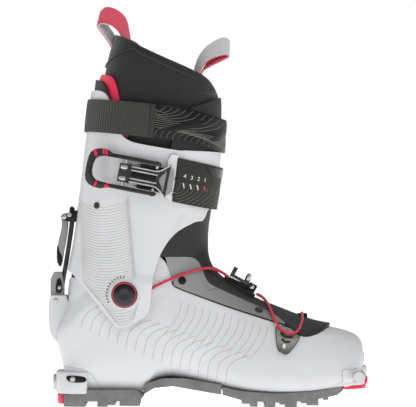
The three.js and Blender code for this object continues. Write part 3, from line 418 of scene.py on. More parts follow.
def apply_modifiers(thing):
    """Turns an object's evaluated shape into its own plain mesh."""
    bpy.context.view_layer.update()
    graph = bpy.context.evaluated_depsgraph_get()
    done = bpy.data.meshes.new_from_object(thing.evaluated_get(graph))
    old = thing.data
    thing.modifiers.clear()
    thing.data = done
    done.name = thing.name
    bpy.data.meshes.remove(old)
    return thing


def smooth(thing, angle=35):
    thing.data.polygons.foreach_set("use_smooth", [True] * len(thing.data.polygons))
    thing.data.set_sharp_from_angle(angle=math.radians(angle))
    return thing


def thicken(thing, thickness, rim=0.5, segments=3):
    """Gives a skin its wall, inwards, with a rounded rim."""
    wall = thing.modifiers.new("Wall", "SOLIDIFY")
    wall.thickness = thickness * MM
    wall.offset = -1
    wall.use_even_offset = False
    apply_modifiers(thing)
    if rim:
        round_edges(thing, rim, segments, 50)
    return smooth(thing, 50)


def round_edges(thing, width, segments=2, angle=35):
    bevel = thing.modifiers.new("Round", "BEVEL")
    bevel.width = width * MM
    bevel.segments = segments
    bevel.limit_method = "ANGLE"
    bevel.angle_limit = math.radians(angle)
    bevel.use_clamp_overlap = True
    bevel.miter_outer = "MITER_SHARP"
    apply_modifiers(thing)
    return smooth(thing, 40)


def cut(thing, *cutters):
    """Cuts a piece by closed meshes, which are used up."""
    for cutter in cutters:
        knife = thing.modifiers.new("Cut", "BOOLEAN")
        knife.operation = "DIFFERENCE"
        knife.solver = "EXACT"
        knife.object = cutter
        apply_modifiers(thing)
        bpy.data.meshes.remove(cutter.data)
    return thing


def join(name, things, finish):
    """Joins objects into one mesh."""
    built = bmesh.new()
    for thing in things:
        built.from_mesh(thing.data)
    mesh = bpy.data.meshes.new(name)
    built.to_mesh(mesh)
    built.free()
    for thing in things:
        bpy.data.meshes.remove(thing.data)
    return new_object(name, mesh, finish)


def prism(name, outline, low, high, finish=None, holes=(), to_world=None):
    """A closed plate from an outline in its own plane, between two heights of its third axis.

    to_world turns (a, b, height) in millimetres into the row's frame; without it the outline is in
    the side view and the heights are values of Y.
    """
    curve = bpy.data.curves.new(name, "CURVE")
    curve.dimensions = "2D"
    curve.fill_mode = "BOTH"
    for ring in (outline, *holes):
        spline = curve.splines.new("POLY")
        spline.points.add(len(ring) - 1)
        for point, (a, b) in zip(spline.points, ring):
            point.co = (a, b, 0, 1)
        spline.use_cyclic_u = True
    curve.extrude = (high - low) / 2
    mesh = flattened(name, curve)
    middle = (high + low) / 2
    with editing(mesh) as built:
        bmesh.ops.remove_doubles(built, verts=built.verts, dist=1e-4)
        if not holes:
            bmesh.ops.dissolve_limit(built, angle_limit=math.radians(0.5), verts=built.verts, edges=built.edges)
        for vert in built.verts:
            a, b, height = vert.co
            height += middle
            vert.co = Vector(metres((a, height, b) if to_world is None else to_world(a, b, height)))
        bmesh.ops.recalc_face_normals(built, faces=built.faces)
    mesh.name = name
    return new_object(name, mesh, finish)


def block(name, x, y, z):
    return prism(name, [(x[0], z[0]), (x[1], z[0]), (x[1], z[1]), (x[0], z[1])], *y)


def round_ring(radius, centre=(0, 0), count=32):
    return [(centre[0] + radius * math.cos(2 * math.pi * i / count),
             centre[1] + radius * math.sin(2 * math.pi * i / count)) for i in range(count)]


def turned(name, profile, place, axis, finish, count=40):
    """A lathed piece: profile of (radius, height) along an axis from a place, all in millimetres."""
    axis = Vector(axis).normalized()
    across = axis.orthogonal().normalized()
    other = axis.cross(across)
    place = Vector(place)
    built = bmesh.new()
    rings = []
    for radius, height in profile:
        if radius <= 0:
            rings.append([built.verts.new(metres(place + axis * height))] * count)
            continue
        ring = []
        for i in range(count):
            angle = 2 * math.pi * i / count
            spot = place + axis * height + (across * math.cos(angle) + other * math.sin(angle)) * radius
            ring.append(built.verts.new(metres(spot)))
        rings.append(ring)
    for ring, after in zip(rings, rings[1:]):
        for i in range(count):
            j = (i + 1) % count
            corners = list(dict.fromkeys([ring[i], ring[j], after[j], after[i]]))
            if len(corners) > 2:
                built.faces.new(corners)
    bmesh.ops.recalc_face_normals(built, faces=built.faces)
    mesh = bpy.data.meshes.new(name)
    built.to_mesh(mesh)
    built.free()
    return smooth(new_object(name, mesh, finish), 32)


def refined(node, finish, rounding, segments):
    """A copy of a frame node with its flat faces whole and its edges rounded."""
    mesh = frame["nodes"][node].data.copy()
    thing = new_object(node + "_finish", mesh, finish)
    with editing(mesh) as built:
        bmesh.ops.remove_doubles(built, verts=built.verts, dist=SEAM / 2 * MM)
        bmesh.ops.dissolve_limit(built, angle_limit=math.radians(1.2), verts=built.verts, edges=built.edges)
    return smooth(round_edges(thing, rounding, segments, 28), 32)


def finish_node(node, body, finish, slot, rounding, segments=2):
    """A refined copy that rides where the frame's node does, and stands for it."""
    return keep(refined(node, finish, rounding, segments), body, slot, node)


def keep(thing, body, slot, *nodes):
    """Rides a finished piece on its body, and names its material slot and what it stands for."""
    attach(thing, body)
    if nodes:
        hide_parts(*nodes)
    return thing


# ---- Materials ----

def wired(tree, kind, settings=None, inputs=None):
    """A new node in a tree: its settings first, then its sockets' values or links."""
    made = tree.nodes.new(kind)
    for key, value in (settings or {}).items():
        setattr(made, key, value)
    for key, value in (inputs or {}).items():
        source = getattr(value, "socket", value)
        if isinstance(source, bpy.types.NodeSocket):
            tree.links.new(source, made.inputs[key])
        else:
            made.inputs[key].default_value = value
    return made


class Value:
    """A shader output, or a number, that takes part in Python sums."""

    def __init__(self, shader, socket):
        self.shader = shader
        self.socket = socket

    def _sum(self, operation, *terms):
        return self.shader.node("ShaderNodeMath", {"operation": operation}, dict(enumerate(terms)))

    def __add__(self, other):
        return self._sum("ADD", self, other)

    __radd__ = __add__

    def __mul__(self, other):
        return self._sum("MULTIPLY", self, other)

    __rmul__ = __mul__

    def __sub__(self, other):
        return self._sum("SUBTRACT", self, other)

    def __rsub__(self, other):
        return self._sum("SUBTRACT", other, self)

    def __truediv__(self, other):
        return self._sum("DIVIDE", self, other)

    def __abs__(self):
        return self._sum("ABSOLUTE", self)

    def wave(self):
        """From 0 to 1 and back, once for each unit."""
        return self._sum("SINE", self * (2 * math.pi)) * 0.5 + 0.5

    def fraction(self):
        return self._sum("FRACT", self)

    def ramp(self, low, high):
        """0 below low, 1 above high, smooth between."""
        return self.shader.node("ShaderNodeMapRange", {"interpolation_type": "SMOOTHSTEP"},
                                {"Value": self, "From Min": low, "From Max": high})


class Finish:
    """A material: one Principled surface and the nodes that feed it."""

    def __init__(self, name, roughness=0.5, metallic=0.0, **constants):
        material = FINISHES[name] = bpy.data.materials.new(name)
        material.use_nodes = True
        self.tree = material.node_tree
        self.surface = self.tree.nodes["Principled BSDF"]
        self.surface.inputs["Roughness"].default_value = roughness
        self.surface.inputs["Metallic"].default_value = metallic
        for key, value in constants.items():
            self.surface.inputs[key.replace("_", " ")].default_value = value
        self.bumped = None

    def node(self, kind, settings=None, inputs=None, output=0):
        return Value(self, wired(self.tree, kind, settings, inputs).outputs[output])

    def place(self, stretch=(1, 1, 1)):
        """Where on the piece, in millimetres."""
        here = self.node("ShaderNodeTexCoord", output="Object")
        return self.node("ShaderNodeVectorMath", {"operation": "MULTIPLY"},
                         {0: here, 1: tuple(part / MM for part in stretch)})

    def along(self):
        """Lengths across and along the piece's own surface, in millimetres."""
        here = self.node("ShaderNodeUVMap", {"uv_map": "Length"})
        lengths = self.node("ShaderNodeVectorMath", {"operation": "MULTIPLY"}, {0: here, 1: (1 / MM,) * 3})
        return self.axis(lengths, "X"), self.axis(lengths, "Y")

    def axis(self, vector, name):
        return self.node("ShaderNodeSeparateXYZ", inputs={0: vector}, output=name)

    def noise(self, vector, scale, detail=3.0, roughness=0.55):
        return self.node("ShaderNodeTexNoise", inputs={
            "Vector": vector, "Scale": scale, "Detail": detail, "Roughness": roughness})

    def cells(self, vector, scale):
        return self.node("ShaderNodeTexVoronoi", inputs={"Vector": vector, "Scale": scale})

    def mix(self, factor, first, second):
        return self.node("ShaderNodeMix", {"data_type": "RGBA"}, {0: factor, 6: first, 7: second}, 2)

    def feed(self, socket, value):
        if isinstance(value, Value):
            self.tree.links.new(value.socket, self.surface.inputs[socket])
        else:
            self.surface.inputs[socket].default_value = value

    def bump(self, height, distance_mm, strength=1.0):
        """Raises the surface by height times a distance."""
        inputs = {"Height": height, "Distance": distance_mm * MM, "Strength": strength}
        if self.bumped:
            inputs["Normal"] = self.bumped
        self.bumped = self.node("ShaderNodeBump", inputs=inputs)
        self.feed("Normal", self.bumped)


def size_of(key):
    """A size that the user may change, in millimetres."""
    return getattr(bpy.context.scene.boot_sizes, key) / MM


def tone(level, tint=(1, 1, 1)):
    """A display grey of 0 to 255, with a tint, as a scene colour."""
    return tuple((min(level * part, 255) / 255) ** 2.2 for part in tint) + (1,)


def colour_of(key):
    """A colour that the user may change, as a plain tuple."""
    return tuple(getattr(bpy.context.scene.boot_colours, key))


def moulded(name, colour, worn, roughness, grain=0.6, depth=0.02, **constants):
    """Injection-moulded plastic: fine grain, faint flow marks, dulled where it is handled."""
    look = Finish(name, roughness, **constants)
    place = look.place()
    flow = look.noise(place, 0.018, 3)
    grainy = look.noise(place, grain, 4, 0.6)
    scuffs = look.noise(look.place(stretch=(0.25, 1, 1)), 0.35, 5, 0.7).ramp(0.62, 0.74)
    base = look.mix(flow.ramp(0.3, 0.75), colour, tuple(c * 0.93 for c in colour[:3]) + (1,))
    look.feed("Base Color", look.mix(scuffs * 0.3, base, worn))
    look.feed("Roughness", roughness + flow * 0.08 - 0.04 + scuffs * 0.14)
    look.bump(grainy, depth, 0.5)
    look.bump(flow, 0.12, 0.35)


def white_plastic():
    """The shells: satin white, a touch warmer where light goes in, road dust low down."""
    look = Finish("white_shell", 0.34, IOR=1.5, Coat_Weight=0.12, Coat_Roughness=0.3)
    place = look.place()
    height = look.axis(place, "Z")
    flow = look.noise(place, 0.012, 3)
    grain = look.noise(place, 1.1, 4, 0.6)
    streaks = look.noise(look.place(stretch=(1, 1, 0.2)), 0.25, 6, 0.7).ramp(0.64, 0.78)
    # Darker, a touch warmer and rougher in patches towards the bottom.
    low_darkening = height.ramp(40, 4) * look.noise(place, 0.16, 5, 0.65).ramp(0.5, 0.8)
    base = look.mix(flow.ramp(0.35, 0.7), colour_of("shell"), tone(214, (0.985, 0.99, 1.0)))
    scuffed = look.mix(streaks * 0.22, base, tone(180))
    look.feed("Base Color", look.mix(low_darkening * 0.16, scuffed, tone(160, (1, 0.985, 0.95))))
    look.feed("Roughness", 0.34 + flow * 0.06 + streaks * 0.12 + low_darkening * 0.2)
    look.bump(grain, 0.012, 0.5)
    look.bump(flow, 0.1, 0.1)


def panel_plastic():
    """The grey throat panels: darker towards the toe, fine sparkle in the grain."""
    look = Finish("throat_grey", 0.42, IOR=1.5)
    place = look.place()
    forward = look.axis(place, "X").ramp(-38, 70)
    grain = look.noise(place, 1.6, 4, 0.65)
    flow = look.noise(place, 0.05, 4)
    base = look.mix(forward, colour_of("panel"), colour_of("panel_toe"))
    look.feed("Base Color", look.mix(flow.ramp(0.35, 0.75) * 0.35, base, tone(132)))
    look.feed("Roughness", 0.4 + grain * 0.14)
    look.bump(grain, 0.03, 0.6)


def metal(name, level, roughness, brushing, tint=(1, 1, 1)):
    """Turned or rolled metal: fine brushing, thumbed patches, small bright nicks."""
    look = Finish(name, roughness, 1.0)
    place = look.place(stretch=brushing)
    hairs = look.noise(place, 1.4, 5, 0.7)
    patches = look.noise(look.place(), 0.12, 4)
    nicks = look.cells(look.place(stretch=(1, 0.4, 1)), 0.5).ramp(0.1, 0.02)
    base = look.mix(patches.ramp(0.35, 0.7), tone(level, tint), tone(level * 0.86, tint))
    look.feed("Base Color", look.mix(nicks * 0.4, base, tone(min(level * 1.3, 235), tint)))
    look.feed("Roughness", roughness + hairs * 0.16 + patches * 0.08 - 0.08)
    look.bump(hairs, 0.02, 0.5)


def knitted_lining():
    """The liner's outside: tight black textile, faint ribs and a soft nap."""
    look = Finish("liner_fabric", 0.82, Sheen_Weight=0.35, Sheen_Roughness=0.4)
    across, up = look.along()
    loops = (across / 0.9).wave() * 0.5 + (up / 0.7 + (across / 1.8).wave() * 0.35).wave() * 0.5
    nap = look.noise(look.place(), 2.2, 4, 0.7)
    folds = look.noise(look.place(), 0.045, 3)
    base = look.mix(loops, colour_of("liner"), tone(44))
    look.feed("Base Color", look.mix(nap * 0.35, base, tone(56)))
    look.feed("Roughness", 0.78 + nap * 0.16)
    look.bump(loops, 0.16, 0.55)
    look.bump(nap, 0.08, 0.5)
    look.bump(folds, 1.6, 0.5)


def ribbed_webbing():
    """Woven strap: picks across, warps along, olive-black yarn with dusty crowns."""
    look = Finish("webbing", 0.86, Sheen_Weight=0.3)
    across, along = look.along()
    warps = (across / 0.55).wave()
    picks = (along / 0.8 + (across / 1.1).wave() * 0.5).wave()
    yarn = warps * picks
    nap = look.noise(look.place(), 1.8, 5, 0.7)
    base = look.mix(yarn, tone(44, (1, 0.99, 0.95)), tone(78, (1, 0.99, 0.93)))
    look.feed("Base Color", look.mix(nap * 0.3, base, tone(64)))
    look.feed("Roughness", 0.78 + nap * 0.18)
    look.bump(yarn, 0.14, 0.6)
    look.bump(nap, 0.06, 0.4)


def braided_lace():
    """The red lace: a round braid with a slight gloss."""
    look = Finish("cable_red", 0.46, Sheen_Weight=0.2)
    around, along = look.along()
    braid = (along / 1.9 + around / 2.3).wave() * (along / 1.9 - around / 2.3).wave()
    base = look.mix(braid, tone(196, (1, 0.14, 0.3)), tone(236, (1, 0.2, 0.38)))
    look.feed("Base Color", base)
    look.feed("Roughness", 0.4 + braid * 0.18)
    look.bump(braid, 0.14, 0.7)


def sole_compound():
    """Moulded rubber: matt, gritty, paler on the worn edges of the tread."""
    look = Finish("sole_rubber", 0.8)
    place = look.place()
    grit = look.noise(place, 1.2, 5, 0.7)
    patches = look.noise(place, 0.06, 4)
    low = look.axis(place, "Z").ramp(9, 0.5)
    base = look.mix(patches.ramp(0.3, 0.7), colour_of("rubber"), tone(128))
    look.feed("Base Color", look.mix(low * grit.ramp(0.4, 0.7) * 0.5, base, tone(160, (1, 0.98, 0.95))))
    look.feed("Roughness", 0.74 + grit * 0.18)
    look.bump(grit, 0.07, 0.6)


def loop_tape(name, colour, crown):
    """Narrow tape with a herringbone weave and stitched edges."""
    look = Finish(name, 0.7, Sheen_Weight=0.25)
    across, along = look.along()
    folded = abs((across / 4.5).fraction() - 0.5) * 3.0
    twill = (along / 0.9 + folded).wave()
    nap = look.noise(look.place(), 2.0, 4, 0.7)
    base = look.mix(twill, colour, crown)
    look.feed("Base Color", look.mix(nap * 0.18, base, tone(150)))
    look.feed("Roughness", 0.66 + nap * 0.2)
    look.bump(twill, 0.12, 0.6)


def pivot_caps():
    """The pivot caps: gloss black, worn a little greyer towards the lower edge."""
    look = Finish("pivot_gloss", 0.16, Coat_Weight=0.2, Coat_Roughness=0.08)
    place = look.place()
    painted_reflection = look.axis(place, "Z").ramp(103, 88)
    fine = look.noise(place, 0.6, 5, 0.7)
    # Painted reflection: the black turns grey towards the lower edge.
    look.feed("Base Color", look.mix(painted_reflection, tone(4), tone(40)))
    look.feed("Roughness", 0.14 + fine * 0.1 + painted_reflection * 0.18)
    look.bump(fine, 0.02, 0.4)


MATT, SHINY = {"Specular_IOR_Level": 0.3}, {"Specular_IOR_Level": 0.4}


def make_finishes():
    """All the finishes, once."""
    for make in (white_plastic, panel_plastic, knitted_lining, sole_compound, braided_lace, ribbed_webbing,
                 pivot_caps):
        make()
    moulded("dark_plastic", colour_of("tongue"), tone(80), 0.5, 1.3, 0.03, **MATT)
    moulded("black_plastic", colour_of("trim"), tone(46), 0.36, 1.3, 0.03, **MATT)
    moulded("gloss_black", tone(10), tone(30), 0.16, 1.3, 0.01, **SHINY)
    moulded("strap_plastic", colour_of("strap"), tone(70), 0.5, 1.6, 0.08, **MATT)
    moulded("smoked_plastic", tone(52), tone(84), 0.34, 1.3, 0.03, Specular_IOR_Level=0.35)
    # The contour lines' grey is painted shade: it stands for the shadowed edges of their moulded steps.
    moulded("contour_line_shade", tone(190), tone(196), 0.5)
    moulded("line_print", tone(120, (1, 0.99, 0.92)), tone(140), 0.6)
    moulded("number_paint", tone(226), tone(180), 0.6)
    moulded("red_plastic", colour_of("accent"), tone(240, (1, 0.4, 0.5)), 0.4)
    moulded("footbed_foam", tone(120), tone(150), 0.9, 0.9, 0.12)
    metal("steel", 205, 0.24, (1, 0.12, 1))
    metal("dark_metal", 78, 0.3, (1, 1, 0.15), (1, 1.0, 1.02))
    metal("plate_metal", 122, 0.34, (0.15, 1, 1), (1, 0.985, 0.94))
    loop_tape("loop_tape", tone(216, (1, 0.17, 0.32)), tone(240, (1, 0.25, 0.4)))
    loop_tape("pale_tape", tone(196), tone(226))


# ---- Geometry Nodes ----

class Maker:
    """A Geometry Nodes tree on one object, with named inputs."""

    def __init__(self, name, **inputs):
        self.tree = bpy.data.node_groups.new(name, "GeometryNodeTree")
        self.tree.interface.new_socket("Geometry", in_out="INPUT", socket_type="NodeSocketGeometry")
        self.tree.interface.new_socket("Geometry", in_out="OUTPUT", socket_type="NodeSocketGeometry")
        self.values = inputs
        self.keys = {}
        for key, value in inputs.items():
            kind = "NodeSocketInt" if isinstance(value, int) else "NodeSocketFloat"
            made = self.tree.interface.new_socket(key, in_out="INPUT", socket_type=kind)
            self.keys[key] = made.identifier
        self.start = self.tree.nodes.new("NodeGroupInput")

    def given(self, key):
        return self.start.outputs[key]

    def node(self, kind, settings=None, inputs=None):
        return wired(self.tree, kind, settings, inputs)

    def run(self, thing, geometry, finish):
        """Turns the tree's result on a mesh object into its own plain mesh."""
        real = self.node("GeometryNodeRealizeInstances", inputs={0: geometry})
        painted = self.node("GeometryNodeSetMaterial", inputs={0: real.outputs[0], "Material": FINISHES[finish]})
        self.tree.links.new(painted.outputs[0], self.tree.nodes.new("NodeGroupOutput").inputs[0])
        modifier = thing.modifiers.new("Make", "NODES")
        modifier.node_group = self.tree
        for key, value in self.values.items():
            modifier[self.keys[key]] = value
        apply_modifiers(thing)
        bpy.data.node_groups.remove(self.tree)
        thing.data.materials.clear()
        thing.data.materials.append(FINISHES[finish])
        return thing


def strands(name, paths, finish, radius=0.3, facets=8):
    """Round strands along paths of points (and outward directions), in millimetres."""
    verts, edges, normals = [], [], []
    for points, out in paths:
        first = len(verts)
        verts.extend(metres(points).tolist())
        normals.extend(np.broadcast_to(out, np.shape(points)).tolist())
        edges.extend((first + i, first + i + 1) for i in range(len(points) - 1))
    mesh = bpy.data.meshes.new(name)
    mesh.from_pydata(verts, edges, [])
    thing = new_object(name, mesh, finish)
    maker = Maker("Strands", Radius=radius * MM, Facets=facets)
    curve = maker.node("GeometryNodeMeshToCurve", inputs={0: maker.start.outputs[0]})
    ring = maker.node("GeometryNodeCurvePrimitiveCircle", inputs={
        "Resolution": maker.given("Facets"), "Radius": maker.given("Radius")})
    swept = maker.node("GeometryNodeCurveToMesh", inputs={
        0: curve.outputs[0], 1: ring.outputs[0], "Fill Caps": True})
    return smooth(maker.run(thing, swept.outputs[0], finish), 60)


def studs(name, places, out, along, size, finish, beads=False):
    """The same small part at many places: out is its own Z, along its own X, size in millimetres."""
    mesh = bpy.data.meshes.new(name)
    mesh.from_pydata(metres(places).tolist(), [], [])
    for key, vectors in (("Out", out), ("Along", along)):
        layer = mesh.attributes.new(key, "FLOAT_VECTOR", "POINT")
        layer.data.foreach_set("vector", np.broadcast_to(vectors, np.shape(places)).ravel())
    thing = new_object(name, mesh, finish)
    maker = Maker("Studs", Length=size[0] * MM, Width=size[1] * MM, Height=size[2] * MM)
    sizes = maker.node("ShaderNodeCombineXYZ", inputs={
        0: maker.given("Length"), 1: maker.given("Width"), 2: maker.given("Height")})
    if beads:
        part = maker.node("GeometryNodeMeshUVSphere", inputs={"Segments": 8, "Rings": 6, "Radius": 0.5})
    else:
        part = maker.node("GeometryNodeMeshCube", inputs={"Size": (1, 1, 1)})
    facing, running = (maker.node("GeometryNodeInputNamedAttribute", {"data_type": "FLOAT_VECTOR"},
                                  {"Name": layer}) for layer in ("Out", "Along"))
    upright = maker.node("FunctionNodeAlignRotationToVector", {"axis": "Z"}, {"Vector": facing.outputs[0]})
    turned_to = maker.node("FunctionNodeAlignRotationToVector", {"axis": "X", "pivot_axis": "Z"}, {
        "Rotation": upright.outputs[0], "Vector": running.outputs[0]})
    spread = maker.node("GeometryNodeInstanceOnPoints", inputs={
        "Points": maker.start.outputs[0], "Instance": part.outputs[0], "Rotation": turned_to.outputs[0],
        "Scale": sizes.outputs[0]})
    return smooth(maker.run(thing, spread.outputs[0], finish), 40)


def spaced(points, gap):
    """Points at even distances along a path, with the path's direction at each."""
    points = np.asarray(points, float)
    steps = np.linalg.norm(np.diff(points, axis=0), axis=1)
    travel = np.concatenate([[0], np.cumsum(steps)])
    count = max(2, int(travel[-1] / gap) + 1)
    at = np.linspace(0, travel[-1], count)
    places = np.stack([np.interp(at, travel, points[:, i]) for i in range(3)], -1)
    return places, unit(np.gradient(places, axis=0))


def line_on(form, route, side, grow, gap=1.0):
    """A smooth line on a form from its side-view route: points, outward directions."""
    route = np.array(rounded_path(route), float)
    steps = np.linalg.norm(np.diff(route, axis=0), axis=1)
    travel = np.concatenate([[0], np.cumsum(steps)])
    at = np.linspace(0, travel[-1], max(3, int(travel[-1] / gap)))
    flat = np.stack([np.interp(at, travel, route[:, i]) for i in (0, 1)], -1)
    return form.on_skin(flat, side, grow)


# ---- Lower shell ----

THROAT_EDGE = [(-47, 138), (-38, 128), (-25, 112.5), (-2, 103.5), (24, 94), (49, 86), (70, 79), (90, 76)]
SHELL_RIM = [(-200, 97), (-125.8, 97.5), (-125.4, 105), (-123.2, 111.5), (-119.4, 115.2), (-108, 120.8),
             (-98, 125), (-75, 131), (-57, 136)]
THROAT_OPENING = [*SHELL_RIM, *rounded_path(THROAT_EDGE), (90, 260), (-200, 260)]
LEDGES = {
    "heel": {"root": -106, "end": -135, "half": 34, "power": 3, "low": 11, "high": 30.5},
    "toe": {"root": 106, "end": 141.4, "half": 40, "power": 2.6, "low": 19, "high": 35},
}


def inside_of(outline):
    return lambda points: within(outline, points)


def ledge_plan(root, end, half, power, count=40):
    ring = []
    for i in range(count + 1):
        angle = math.pi * i / count - math.pi / 2
        reach = math.cos(angle) ** (2 / power)
        side = math.copysign(abs(math.sin(angle)) ** (2 / power), math.sin(angle))
        ring.append((root + (end - root) * reach, half * side))
    return ring


def ledge(name, kind, finish):
    """A welt round the heel or toe, drawn in plan."""
    size = LEDGES[kind]
    ring = ledge_plan(size["root"], size["end"], size["half"], size["power"])
    thing = prism(name, ring, size["low"], size["high"], finish, to_world=lambda a, b, height: (a, b, height))
    return round_edges(thing, 1.4, 3, 40)


def keep_open(points):
    return ~within(THROAT_OPENING, points)


def build_lower_shell():
    grids = trimmed(FOOT.place, keep_open, (0, FOOT.last), columns=300, rows=90)
    shell = skin("lower_shell_walls", grids, "white_shell")
    thicken(shell, 3.4, 0.6)
    heel = ledge("heel_welt", "heel", "white_shell")
    toe = ledge("toe_welt", "toe", "white_shell")
    seat_line = rounded_path([(-122, 54), (-134.5, 57), (-139.6, 65), (-141, 76), (-140.8, 90), (-139, 97.5)])
    seat = prism("heel_seat", [*seat_line, (-125.8, 97.5), (-122, 88)], -13, 13, "white_shell")
    round_edges(seat, 1.6, 3, 30)
    cut(seat, block("seat_gap", (-160, -128), (-9.2, 9.2), (88, 130)))
    smooth(seat, 40)
    shell = join("lower_shell_finish", [shell, heel, toe, seat], "white_shell")
    smooth(shell, 45)
    cut(shell, block("heel_pocket", (-138.4, -125.6), (-13.4, 13.4), (13.6, 27.4)),
        prism("toe_hole", round_ring(4.75, (132.5, 26.5)), -45, 45))
    smooth(shell, 45)
    keep(shell, "shell", "white_shell", "lower_shell")


LINE_RADIUS = 0.26  # of the contour lines moulded into the shells
LINE_LIFT = 0.02  # of those lines' middles above the skin
LINE_STEP = 1.4  # from point to point along them


def shell_lines(side):
    """The contour lines moulded into the shell's flank: level in front, turning down to the rear."""
    paths = []
    for k in range(17):
        x = -104 + 7.9 * k
        z = 86 - 2.75 * k
        bend = [(x - 7.5, z - 17 - 0.5 * k), (x - 5, z - 8.5), (x, z - 2), (x + 8, z + 2.2), (x + 15, z + 4)]
        paths.append(line_on(FOOT, bend, side, LINE_LIFT, LINE_STEP))
    for k in range(13):
        x = -40 + 6.3 * k
        z = 72 - 1.7 * k
        sweep = [(x + 1, z - 9), (x + 7, z - 2), (x + 12, z + 5), (x + 15.4, z + 12), (x + 17, z + 20)]
        paths.append(line_on(FOOT, sweep, side, LINE_LIFT, LINE_STEP))
    return paths


def cuff_lines(side):
    """The contour lines round the cuff's rear quarter: shallow troughs, one under another."""
    paths = []
    for k in range(43):
        z = 176 - 2.45 * k
        lean = (176 - z) * 0.08
        low_x = max(-113.5 + lean * 0.6, -124 + (120 - z) * 0.86 if z < 120 else -200)
        high_x = -69 + min(lean * 1.15, 8)
        if z < 96:
            high_x = min(high_x, -57 - (96 - z) * 0.3)
        if high_x - low_x < 9:
            break
        wide = high_x - low_x
        trough = [(low_x, z + 7), (low_x + wide * 0.12, z + 2.6), (low_x + wide * 0.36, z - 0.6),
                  (low_x + wide * 0.68, z + 0.4), (low_x + wide * 0.9, z + 3.6), (high_x, z + 8)]
        points, out = line_on(CUFF, trough, side, LINE_LIFT, LINE_STEP)
        far = np.hypot(points[:, 0] - PIVOT_X, points[:, 2] - PIVOT_Z) > 13.2
        runs = np.split(np.arange(len(points)), np.flatnonzero(np.diff(far.astype(int))) + 1)
        paths.extend((points[run], out[run]) for run in runs if far[run[0]] and len(run) > 3)
    return paths


def build_shell_details():
    relief = []
    for side in SIDES.values():
        relief.extend(shell_lines(side))
        relief.append(line_on(FOOT, [(-128, 34.5), (-116, 34), (-103, 29), (-91, 12)], side, 0.1))
    # These lines are grey for painted shade along their steps.
    keep(strands("shell_contour_lines", relief, "contour_line_shade", LINE_RADIUS, 6), "shell", "white_shell")


# ---- Cuff ----

CUFF_TOP_EDGE = [(8, 224.2), (-12, 224), (-27, 225.5), (-56, 230.3), (-69, 234), (-77, 241), (-83, 255),
                 (-87, 268), (-91, 275.5), (-97, 278.5), (-104, 278)]
CUFF_LOWER_EDGE = [(-124.4, 120.2), (-116.6, 114), (-99, 93), (-81.8, 72.1), (-77.2, 69.6), (-71.5, 69.9),
                   (-60, 76.6), (-52, 83.7), (-49, 104.4), (-47, 118.4), (-40.1, 136.9), (-28.5, 152.5),
                   (-12.2, 162), (-4, 164.2), (0, 172.9)]


def cuff_outline():
    top = rounded_path(CUFF_TOP_EDGE)
    low = rounded_path(CUFF_LOWER_EDGE)
    return [*top, (-112, 280), (-140, 200), (-140, 121), *low, (8, 178), (30, 200), (30, 224.2)]


def recess(points):
    """How deep the pressed hollow beside the ankle is, as a share, at side-view places."""
    x, z = points[..., 0], points[..., 2]
    left = -72.6 + (np.clip(z, 110, 178) - 178) * -0.088
    right = -38 + (np.clip(z, 120, 170) - 120) * 0.42
    across = np.clip((x - left) / 7, 0, 1) * np.clip((right - x) / 9, 0, 1)
    up = np.clip((z - 108) / 10, 0, 1) * np.clip((262 - z) / 60, 0, 1)
    soft = lambda t: t * t * (3 - 2 * t)
    return soft(across) * soft(up)


def build_cuff():
    outline = cuff_outline()
    grids = []

    def kept(points):
        x, y, z = points[..., 0], np.abs(points[..., 1]), points[..., 2]
        front_gap = (x > -40) & (y < 10)
        arch = 9.2 * np.sqrt(np.clip(1 - np.clip((z - 194) / 9, 0, 1) ** 2, 0, 1))
        spine_gap = (x < -90) & (z < 203) & (y < arch)
        return within(outline, points) & ~front_gap & ~spine_gap

    for side in SIDES.values():
        patch = Patch(CUFF.place(side), kept, (0, CUFF.last), columns=340, rows=110)
        pressed = patch.points.copy()
        pressed[..., 1] -= side * 2.1 * recess(patch.points) * np.clip(np.abs(pressed[..., 1]) / 30, 0, 1)
        grids.append((pressed, patch.out))
    cuff = skin("cuff_shell_finish", grids, "white_shell")
    thicken(cuff, size_of("shell_wall"), 0.55, 2)
    keep(cuff, "cuff", "white_shell", "cuff_shell")
    # These lines are grey for painted shade along their steps.
    lines = strands("cuff_contour_lines", cuff_lines(LATERAL) + cuff_lines(MEDIAL), "contour_line_shade", LINE_RADIUS, 6)
    keep(lines, "cuff", "white_shell")


def build_spoilers():
    for name, node, outline, grow, wall, finish in (
        ("rear_spoiler_finish", "rear_spoiler",
         [(-80, 262), (-86, 270), (-90, 281), (-96, 287.5), (-104.4, 285), (-108, 250), (-95, 240)],
         -2.75, 2.2, "dark_plastic"),
        ("inner_spoiler_finish", "inner_spoiler",
         [(-70, 238), (-76, 262), (-80, 280), (-84, 289.5), (-90, 292), (-95.4, 290), (-100, 262), (-92, 232)],
         -5.25, 1.5, "red_plastic"),
    ):
        grids = trimmed(CUFF.place, inside_of(closed_path(outline)), (0, CUFF.last), columns=70,
                        rows=30, grow=grow, trim_grow=grow)
        spoiler = skin(name, grids, finish)
        thicken(spoiler, wall, 0.45, 2)
        keep(spoiler, "cuff", finish, node)


# ---- Liner ----

COLLAR_TOP = [(20, 262), (10, 273), (5.5, 281.5), (-2, 290), (-14, 296.5), (-40, 308), (-62, 318.5),
              (-68, 322.5), (-78, 327), (-86, 328.5), (-120, 329)]
PIPING = [(-91.5, 300), (-85, 306), (-79, 310), (-71, 313.5), (-64, 314.6), (-57.6, 310), (-45, 304),
          (-32, 297.5), (-14, 290), (0, 283), (4.6, 279)]


def shaft_region():
    bottom = [at_pivot(54, angle) for angle in np.linspace(175, 67, 24)]
    front = [at_pivot(61, 64), at_pivot(70, 56), at_pivot(103.5, 53), at_pivot(103.5, 47), at_pivot(103.5, 44)]
    top = rounded_path(COLLAR_TOP)
    return [*bottom, *front, (60, 180), *top, (-200, 104)]


